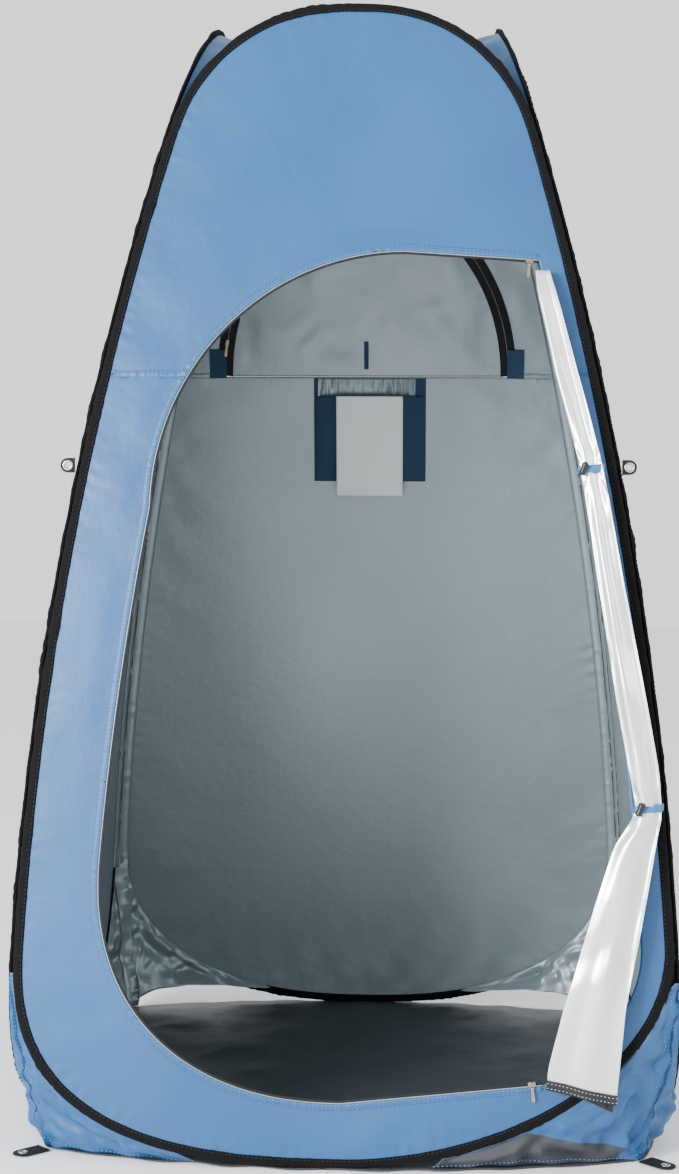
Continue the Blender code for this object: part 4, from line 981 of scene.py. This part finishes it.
def door_folds(across, up, strength):
    """The gathered door's folds: long soft ones, a few creases, and puckers that spread from each tie."""
    total = 0.0050 * np.sin(TAU * 0.58 * across + 2.2 * up + 0.6)
    total = total + 0.0022 * np.sin(TAU * 1.15 * across - 5.0 * up + 1.9)
    spots = np.stack(np.broadcast_arrays(across * 0.035, up), -1).reshape(-1, 2)
    total = total + 0.0038 * crumple(spots, 91, (0.08, 0.20), 5).reshape(total.shape)
    for i, share in enumerate(TIE_SHARES.values()):
        above = up - (SILL_END + (HEAD_END - SILL_END) * share)
        away = np.abs(above)
        spread = np.arctan2(across * 0.030, away + 0.012) * 2.1 + 0.35 * i + 0.5 * (above > 0)
        pucker = np.abs(spread % 1 - 0.5) * 4 - 1
        total = total + 0.0042 * pucker * np.exp(-away / 0.055) * (away / 0.010).clip(0.25, 1)
        total = total + 0.0065 * (np.exp(-away / 0.045) - np.exp(-away / 0.014)) * (1 - across ** 2)
    return total * strength


def make_door():
    """The rolled-back door: its whole cloth in flat folds one behind another, silver side out."""
    layers, count = 9, 190
    shares = np.linspace(0, 0.985, count)
    up, middle, half, deep = flap_rows(shares)
    along = np.linspace(0, layers, layers * FOLD_POINTS + 1)
    cosine = np.cos(math.pi * along)
    draw = np.random.default_rng(90)
    widths = np.ones((count, layers + 2))
    for i in range(2, layers + 1):
        phase, length = draw.uniform(0, TAU), draw.uniform(0.25, 0.6)
        widths[:, i] = 0.80 + 0.12 * np.sin(TAU * up / length + phase)
    turn_of = np.where(cosine > 0, 2 * np.round(along / 2), 2 * np.round((along - 1) / 2) + 1)
    width = widths[:, turn_of.clip(0, layers).astype(int)]
    across = power(cosine, 0.8) * width
    depth = 1 - 2 * (along + 0.9 / TAU * np.sin(TAU * along)) / layers
    front = (1 - along / layers) ** 0.7
    fold = door_folds(across, up[:, None], front)
    sides = middle[:, None] + half[:, None] * across
    outs = FLAP_STANDOFF + deep[:, None] + deep[:, None] * 0.8 * depth + fold * (deep / 0.013)[:, None]
    outs = outs + 0.0020 * (1 - along).clip(0)
    loose = (1 - shares / 0.16).clip(0) ** 1.5
    sag = 0.011 * across + 0.016 * np.minimum(along, 2) / 2 * across.clip(0)
    ups = up[:, None] - loose[:, None] * sag
    flat = np.stack((sides, ups), -1).reshape(-1, 2)
    grid = FRONT.place(flat, np.maximum(outs, 0.003).ravel()).reshape(count, -1, 3)
    fold_width = 0.085
    uv = np.stack(np.meshgrid(along * fold_width, up), -1)
    # The door's silver carries painted light: paler shades for the light that falls on the door.
    made = piece("door_cloth", grid, grid_faces(count, len(along)), PAINTED_LIT_SILVER, body="door",
                 slot="lining_cloth", uv=uv, lining=TAFFETA, thick=0.0005)
    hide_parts("door_flap")
    hem = hem_tape(grid, uv)
    ties = [make_tie(name) for name in TIE_SHARES]


def hem_tape(grid, uv):
    """The door's own half of the zip, sewn along the foot of its folds."""
    foot = grid[0]
    way = unit(foot - grid[3])
    rows = np.array([foot + way * distance for distance in (0.012, 0.008, 0.004, 0.0, -0.004)])
    outward = np.cross(np.gradient(rows, axis=1), np.gradient(rows, axis=0))
    rows = rows + unit(outward) * -0.0006
    cut = np.stack(np.meshgrid(uv[0, :, 0], np.arange(len(rows)) * 0.004), -1)
    made = piece("door_hem_tape", rows, grid_faces(*rows.shape[:2]), ZIP_TAPE, body="door",
                 slot="zip_tape", uv=cut, thick=0.0016)
    front = slice(0, FOLD_POINTS)
    sewn = rows[:, front] + unit(outward)[:, front] * -0.0014
    beads("door_hem_stitches", [sewn[1], sewn[3]], *DOOR_STITCH, PALE_THREAD, "zip_tape", "door")
    made.modifiers["cloth"].offset = 0.0
    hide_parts("door_hem_zip_tape")
    return made


def make_tie(name):
    """A cloth strap round the gathered door."""
    share = TIE_SHARES[name]
    up, middle, half, deep = (value[0] for value in flap_rows(np.array([share] * 3)))
    turn = np.linspace(0, TAU, 96, endpoint=False)
    rows = []
    slope = 0.12
    for level, puff in TIE_FACES:
        wave = 0.0005 * np.sin(5 * turn + level)
        side = (half + 0.0028 + puff + wave) * power(np.cos(turn), 0.8)
        out = (deep + 0.0034 + puff + wave) * power(np.sin(turn), 0.8)
        height = up + level * TIE_WIDTH / 2 + slope * half * np.cos(turn)
        flat = np.stack((middle + side, height), 1)
        rows.append(FRONT.place(flat, FLAP_STANDOFF + deep + out))
    uv = np.stack(np.meshgrid(turn * 0.02, np.linspace(0, 0.02, len(rows))), -1)
    faces = grid_faces(len(rows), len(turn), True, True)
    strap = piece(f"door_tie_{name}_strap", rows, [face[::-1] for face in faces], TRIM, body="door",
                  slot="shell_cloth", uv=uv)
    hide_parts(f"door_tie_{name}")
    return strap


# ---- zips ----
def make_door_zip(stitches):
    """Round the doorway: a puckered hem, a thin pale cord that is a painted highlight along the hem's edge,
    the zip's tape and its coil.
    """
    line = zipped_edge()

    def pucker(run, right):
        return 0.0007 * ripples(run, run * 0, 101, (0.009, 0.018)) * (1 - abs(right + 0.006) / 0.006 * 0.6)

    strip("doorway_hem", FRONT, line, DOORWAY_HEM, TAFFETA, rise=pucker, slot="shell_cloth",
          thick=THIN_CLOTH)
    made = strip("doorway_zip_tape", FRONT, line, DOORWAY_TAPE, ZIP_TAPE, slot="zip_tape", thick=0.0009)
    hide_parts("door_zip_tape")
    # A thin cord in the pale silver finish: a painted highlight along the hem's inner edge.
    around = np.linspace(0, TAU, 8, endpoint=False)[::-1]
    cord = [(0.0006 + HIGHLIGHT_CORD_RADIUS * math.cos(t), 0.0019 + HIGHLIGHT_CORD_RADIUS * math.sin(t)) for t in around]
    strip("doorway_piping", FRONT, line, cord, SILVER, tube=True, slot="lining_cloth")
    teeth = FRONT.place(offset(line, TAPE_OVERHANG - 0.0012), 0.0016)
    beads("doorway_zip_coil", [teeth], *DOORWAY_TEETH, COIL, "zip_tape")
    for right in (-0.0096, -0.0030):
        stitches.append(FRONT.place(offset(line, right), 0.0017))


def make_window(stitches):
    """The window's flap, the two halves of its zip, its tie and the patches at its feet."""
    foot_up = BACK.seam - 0.0005
    loop = window_loop(-HALVES_GAP / 2 - TAPE_OVERHANG, foot_up)
    flat, faces = fill([loop])
    run, away = nearest(flat, loop)
    relief = 0.0010 * ripples(run, away, 111, (0.014, 0.030), 0.4) * np.exp(-away / 0.016)
    relief += 0.0020 * swell(flat, 112, (0.15, 0.40)) * (away / 0.05).clip(0, 1)
    relief += 0.0012 * crumple(flat, 113, (0.06, 0.16)) * (away / 0.03).clip(0, 1)
    relief *= ((flat[:, 1] - BACK.seam) / 0.035).clip(0, 1)
    used, packed = part_of(flat, faces, np.ones(len(faces), bool))
    made = piece("window_flap_cloth", BACK.place(flat, CLOTH / 2 + relief)[used], packed, TAFFETA,
                 body="window", slot="shell_cloth", uv=flat[used], lining=SILVER, thick=CLOTH)
    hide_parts("window_flap")
    size, area = cut_size(flat[used], packed)
    arch = window_arch()
    line = arch[arch[:, 1] > foot_up]

    def pucker(run, right):
        return -0.0005 * ripples(run, run * 0, 115, (0.010, 0.020)) * abs(right) / WINDOW_TAPE

    for name, low, high, body, node in (
            ("window_zip_outer_tape", 0.0001, HALVES_GAP / 2 + WINDOW_TAPE, "root", "window_zip_tape"),
            ("window_zip_inner_tape", -HALVES_GAP / 2 - WINDOW_TAPE, -0.0001, "window",
             "window_flap_zip_tape")):
        section = [(right, -0.0015) for right in np.linspace(high, low, 6)]
        tape = strip(name, BACK, line, section, ZIP_TAPE, rise=pucker, body=body, slot="zip_tape",
                     thick=0.0008)
        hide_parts(node)
        for right in (low + 0.002, high - 0.002):
            stitches.append(BACK.place(offset(line, right), -0.0018))
    teeth = [BACK.place(offset(line, right), -0.0022) for right in (-0.0008, 0.0008)]
    beads("window_zip_coil", teeth, *WINDOW_TEETH, COIL, "zip_tape")
    make_window_trim()


def folded_strip(name, across, ups, out, slot, node, body="root", bow=0.0, seed=0):
    """A small flat piece of navy cloth on the inside of the back wall, a little wavy."""
    columns, rows = np.linspace(*across, 22), np.linspace(*ups, 30)
    flat = np.stack(np.meshgrid(columns, rows), -1).reshape(-1, 2)
    wave = 0.0006 * swell(flat, seed, (0.03, 0.09)) + bow * np.sin(
        math.pi * (flat[:, 0] - across[0]) / (across[1] - across[0]))
    made = piece(name, BACK.place(flat, -out - wave), grid_faces(len(rows), len(columns)), NAVY, body=body,
                 slot=slot, uv=flat, thick=0.0008)
    if node:
        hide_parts(node)


def make_window_trim():
    """The tie that hangs at the window's foot and the patch at each end of its zip."""
    folded_strip("window_tie_strap", (-0.0045, 0.0045), (BACK.seam + 0.014, BACK.seam + 0.068), 0.0022,
                 "navy_mesh", "window_tie", "window", 0.0008, 120)
    foot = WINDOW_HALF + HALVES_GAP / 2 - 0.004
    for name, side in (("right", -1), ("left", 1)):
        across = sorted((side * foot, side * (foot + PATCH_WIDTH)))
        ups = (BACK.seam - 0.0045, BACK.seam + PATCH_HEIGHT)
        folded_strip(f"window_patch_{name}_cloth", across, ups, 0.0050, "shell_cloth",
                     f"window_patch_{name}", seed=121 + side)


# ---- pocket and label ----
def make_pocket(stitches):
    """The pocket under the window: a gathered silver header with navy ends, a navy body, and the label."""
    top = BACK.seam - 0.001
    header_top = top - 0.0035
    header_foot = top - HEADER_DROP
    low, high = POCKET_SHIFT - POCKET_HALF, POCKET_SHIFT + POCKET_HALF
    columns = np.linspace(low + 0.020, high - 0.008, 150)
    rows = np.linspace(header_foot - 0.004, header_top, 26)
    flat = np.stack(np.meshgrid(columns, rows), -1).reshape(-1, 2)
    share = (flat[:, 1] - rows[0]) / (rows[-1] - rows[0])
    gather = ripples(flat[:, 0], flat[:, 1] - top, 130, (0.010, 0.026), 0.5)
    out = 0.0045 + 0.0026 * np.sin(math.pi * share) + 0.0016 * gather * (0.35 + np.sin(math.pi * share))
    header = piece("pocket_header_cloth", BACK.place(flat, -out), grid_faces(len(rows), len(columns)),
                   SILVER, slot="lining_cloth", uv=flat, thick=0.0007)
    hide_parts("pocket_header")
    for name, edges in (("left", (high - 0.012, high)), ("right", (low, low + 0.022))):
        folded_strip(f"pocket_corner_{name}", edges, (header_foot - 0.002, header_top), 0.0042, "navy_mesh",
                     None, bow=0.0006, seed=131)
    across = np.linspace(low, high, 60)
    ups = np.linspace(top - POCKET_DROP, header_foot, 44)
    flat = np.stack(np.meshgrid(across, ups), -1).reshape(-1, 2)
    side = 1 - np.abs((flat[:, 0] - POCKET_SHIFT) / POCKET_HALF) ** 6
    foot = 1 - ((ups[-1] - flat[:, 1]) / (ups[-1] - ups[0])) ** 8
    belly = POCKET_DEPTH * 0.80 * side * foot.clip(0)
    belly += 0.0016 * swell(flat, 133, (0.06, 0.14)) * side * foot.clip(0)
    body = piece("pocket_cloth", BACK.place(flat, -0.0025 - belly), grid_faces(len(ups), len(across)), NAVY,
                 slot="navy_mesh", uv=flat, thick=0.0009)
    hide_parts("pocket")
    make_label(header_foot)
    for level in (header_foot - 0.001, header_top - 0.002):
        line = np.stack((columns, np.full(len(columns), level)), 1)
        stitches.append(BACK.place(line, -0.0060))


def make_label(top):
    """The blank care label, hanging from the pocket's header with a soft curl."""
    low, high = POCKET_SHIFT - LABEL_HALF, POCKET_SHIFT + LABEL_HALF
    columns, rows = np.linspace(low, high, 40), np.linspace(top - LABEL_HEIGHT, top, 56)
    flat = np.stack(np.meshgrid(columns, rows), -1).reshape(-1, 2)
    fall = (top - flat[:, 1]) / LABEL_HEIGHT
    curl = 0.0040 * fall ** 2 * np.cos(TAU * (flat[:, 0] - POCKET_SHIFT) / 0.19) + 0.0012 * swell(
        flat, 140, (0.07, 0.18)) * fall
    out = 0.0014 + POCKET_DEPTH + 0.0035 + curl
    made = piece("care_label_cloth", BACK.place(flat, -out), grid_faces(len(rows), len(columns)), LABEL,
                 body="care_label", slot="label_cloth", uv=flat, thick=0.0005)
    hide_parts("care_label")


# ---- metal, plastic and tabs ----
def rounded_copy(node, name, finish, width):
    """A CAD node's own shape with its edges rounded."""
    source = frame["nodes"][node]
    bm = bmesh.new()
    bm.from_mesh(source.data)
    bmesh.ops.remove_doubles(bm, verts=bm.verts, dist=1e-6)
    bmesh.ops.dissolve_limit(bm, angle_limit=math.radians(2), verts=bm.verts, edges=bm.edges)
    mesh = bpy.data.meshes.new(name)
    bm.to_mesh(mesh)
    bm.free()
    for layer in list(mesh.uv_layers):
        mesh.uv_layers.remove(layer)
    mesh.materials.clear()
    mesh.materials.append(finish)
    mesh.shade_smooth()
    mesh.set_sharp_from_angle(angle=math.radians(50))
    made = link(bpy.data.objects.new(name, mesh))
    bevel = made.modifiers.new("rounded", "BEVEL")
    bevel.width = width
    bevel.segments = 2
    bevel.limit_method = "ANGLE"
    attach(made, source["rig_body"])
    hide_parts(node)


def make_eyelet(node):
    """A pressed eyelet: a rolled rim and a barrel, turned round the CAD eyelet's own axis."""
    low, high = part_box(node)
    middle = (low + high) / 2
    upright = (high - low).z < (high - low).y
    axis = Vector((0, 0, 1)) if upright else Vector((0, -1, 0))
    thickness = (high - low).z if upright else (high - low).y
    profile = []
    for i in range(9):
        turn = math.pi * (i / 8)
        profile.append((0.0066 - 0.0019 * math.cos(turn), thickness / 2 - 0.0010 + 0.0012 * math.sin(turn)))
    profile = [(0.0047, -thickness / 2), (0.0057, -thickness / 2)] + [(0.0056, 0.0)] + profile[::-1]
    turns = np.linspace(0, TAU, 40, endpoint=False)
    across = Vector((1, 0, 0))
    side = axis.cross(across)
    points = [[middle + across * r * math.cos(t) + side * r * math.sin(t) + axis * z for t in turns]
              for r, z in profile]
    faces = grid_faces(len(profile), len(turns), True, True)
    body = frame["nodes"][node]["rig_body"]
    made = piece(node + "_rim", points, faces, NICKEL, body=body, slot="eyelet_metal")
    bm = bmesh.new()
    bm.from_mesh(made.data)
    bmesh.ops.recalc_face_normals(bm, faces=bm.faces)
    bm.to_mesh(made.data)
    bm.free()
    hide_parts(node)


# word in the node's name, ending of the piece's, finish, slot, width of the rounded edges
ROUNDED = (
    ("_slider", "_cast", ZINC, "zip_metal", 0.0005),
    ("_pull", "_cast", ZINC, "zip_metal", 0.0003),
    ("_toggle", "_moulded", ACETAL, "toggle_plastic", 0.0006),
    ("_tab", "_strap", WEBBING, "webbing", 0.0003),
)


def make_hardware():
    """Sliders, pulls, toggles, tabs and eyelets, and the wires inside the bindings."""
    for node, solid in frame["nodes"].items():
        for word, ending, finish, slot, width in ROUNDED:
            if word in node:
                rounded_copy(node, node + ending, finish, width)
        if node.endswith("_eyelet"):
            make_eyelet(node)
        if node.endswith("_wire"):
            solid.data.materials.clear()
            solid.data.materials.append(STEEL)


# ---- floor, light and camera ----
def make_stage():
    """A pale floor, a soft even sky and two large soft lights."""
    mesh = bpy.data.meshes.new("studio_floor")
    reach = 14.0
    corners = ((-1, -1), (1, -1), (1, 1), (-1, 1))
    mesh.from_pydata([(x * reach, y * reach, -MM) for x, y in corners], [], [(0, 1, 2, 3)])
    mesh.materials.append(solid_finish("matt_white_floor", ("#F0F0F0", "#F4F4F4"), 0.8, 5 * MM, 0.1 * MM))
    link(bpy.data.objects.new("studio_floor", mesh))
    world = bpy.data.worlds.new("studio")
    world.use_nodes = True
    sky = world.node_tree.nodes["Background"].inputs
    sky["Color"].default_value = (1, 1, 1, 1)
    sky["Strength"].default_value = SKY_STRENGTH
    bpy.context.scene.world = world
    for name, spot, size, watts in LAMPS:
        light = bpy.data.lights.new(name, "AREA")
        light.shape = "DISK"
        light.size = size
        light.energy = watts
        lamp = link(bpy.data.objects.new(name, light))
        lamp.location = spot
        lamp.rotation_euler = (LAMPS_AIM - Vector(spot)).to_track_quat("-Z", "Y").to_euler()


def make_camera():
    """A camera a little right of the doorway's middle, at chest height, turned slightly left and down."""
    yaw, pitch, roll = (math.radians(degrees) for degrees in CAMERA_TURNS)
    ahead = Vector((math.sin(yaw) * math.cos(pitch), math.cos(yaw) * math.cos(pitch), -math.sin(pitch)))
    level = Vector((math.cos(yaw), -math.sin(yaw), 0))
    upward = level.cross(ahead)
    right = math.cos(roll) * level + math.sin(roll) * upward
    above = -math.sin(roll) * level + math.cos(roll) * upward
    camera = link(bpy.data.objects.new("camera", bpy.data.cameras.new("camera")))
    camera.data.lens = CAMERA_LENS
    camera.data.sensor_width = 36.0
    axes = Matrix((right, above, -ahead)).transposed().to_4x4()
    camera.matrix_world = Matrix.Translation(CAMERA_PLACE) @ axes
    bpy.context.scene.camera = camera


# ---- whole tent ----
def main():
    """Every piece in turn, and last the stitches, whose lines the pieces hand on."""
    make_camera()
    make_stage()
    black, blue = [], []
    for i, wall in enumerate(WALLS):
        black += make_binding(wall, 10 + i)
        black.append(make_corner(wall, WALLS[(i + 1) % 4], 150 + 3 * i))
    blue += make_wall(FRONT, [doorway()], 200)
    blue += make_wall(RIGHT, [], 300)
    blue += make_wall(BACK, [window_loop(HALVES_GAP / 2 + TAPE_OVERHANG, BACK.seam - 0.001)], 400)
    blue += make_wall(LEFT, [], 500)
    make_groundsheet()
    for i, wall in enumerate(WALLS):
        blue += make_gusset(wall, WALLS[(i + 1) % 4], 600 + 20 * i)
    make_roof()
    make_door()
    make_door_zip(blue)
    make_window(black)
    make_pocket(blue)
    make_hardware()
    beads("binding_stitches", black, *STITCH, 0.0014, BLACK_THREAD, "binding")
    beads("seam_stitches", blue, *STITCH, 0.0015, BLUE_THREAD, "shell_cloth")


main()
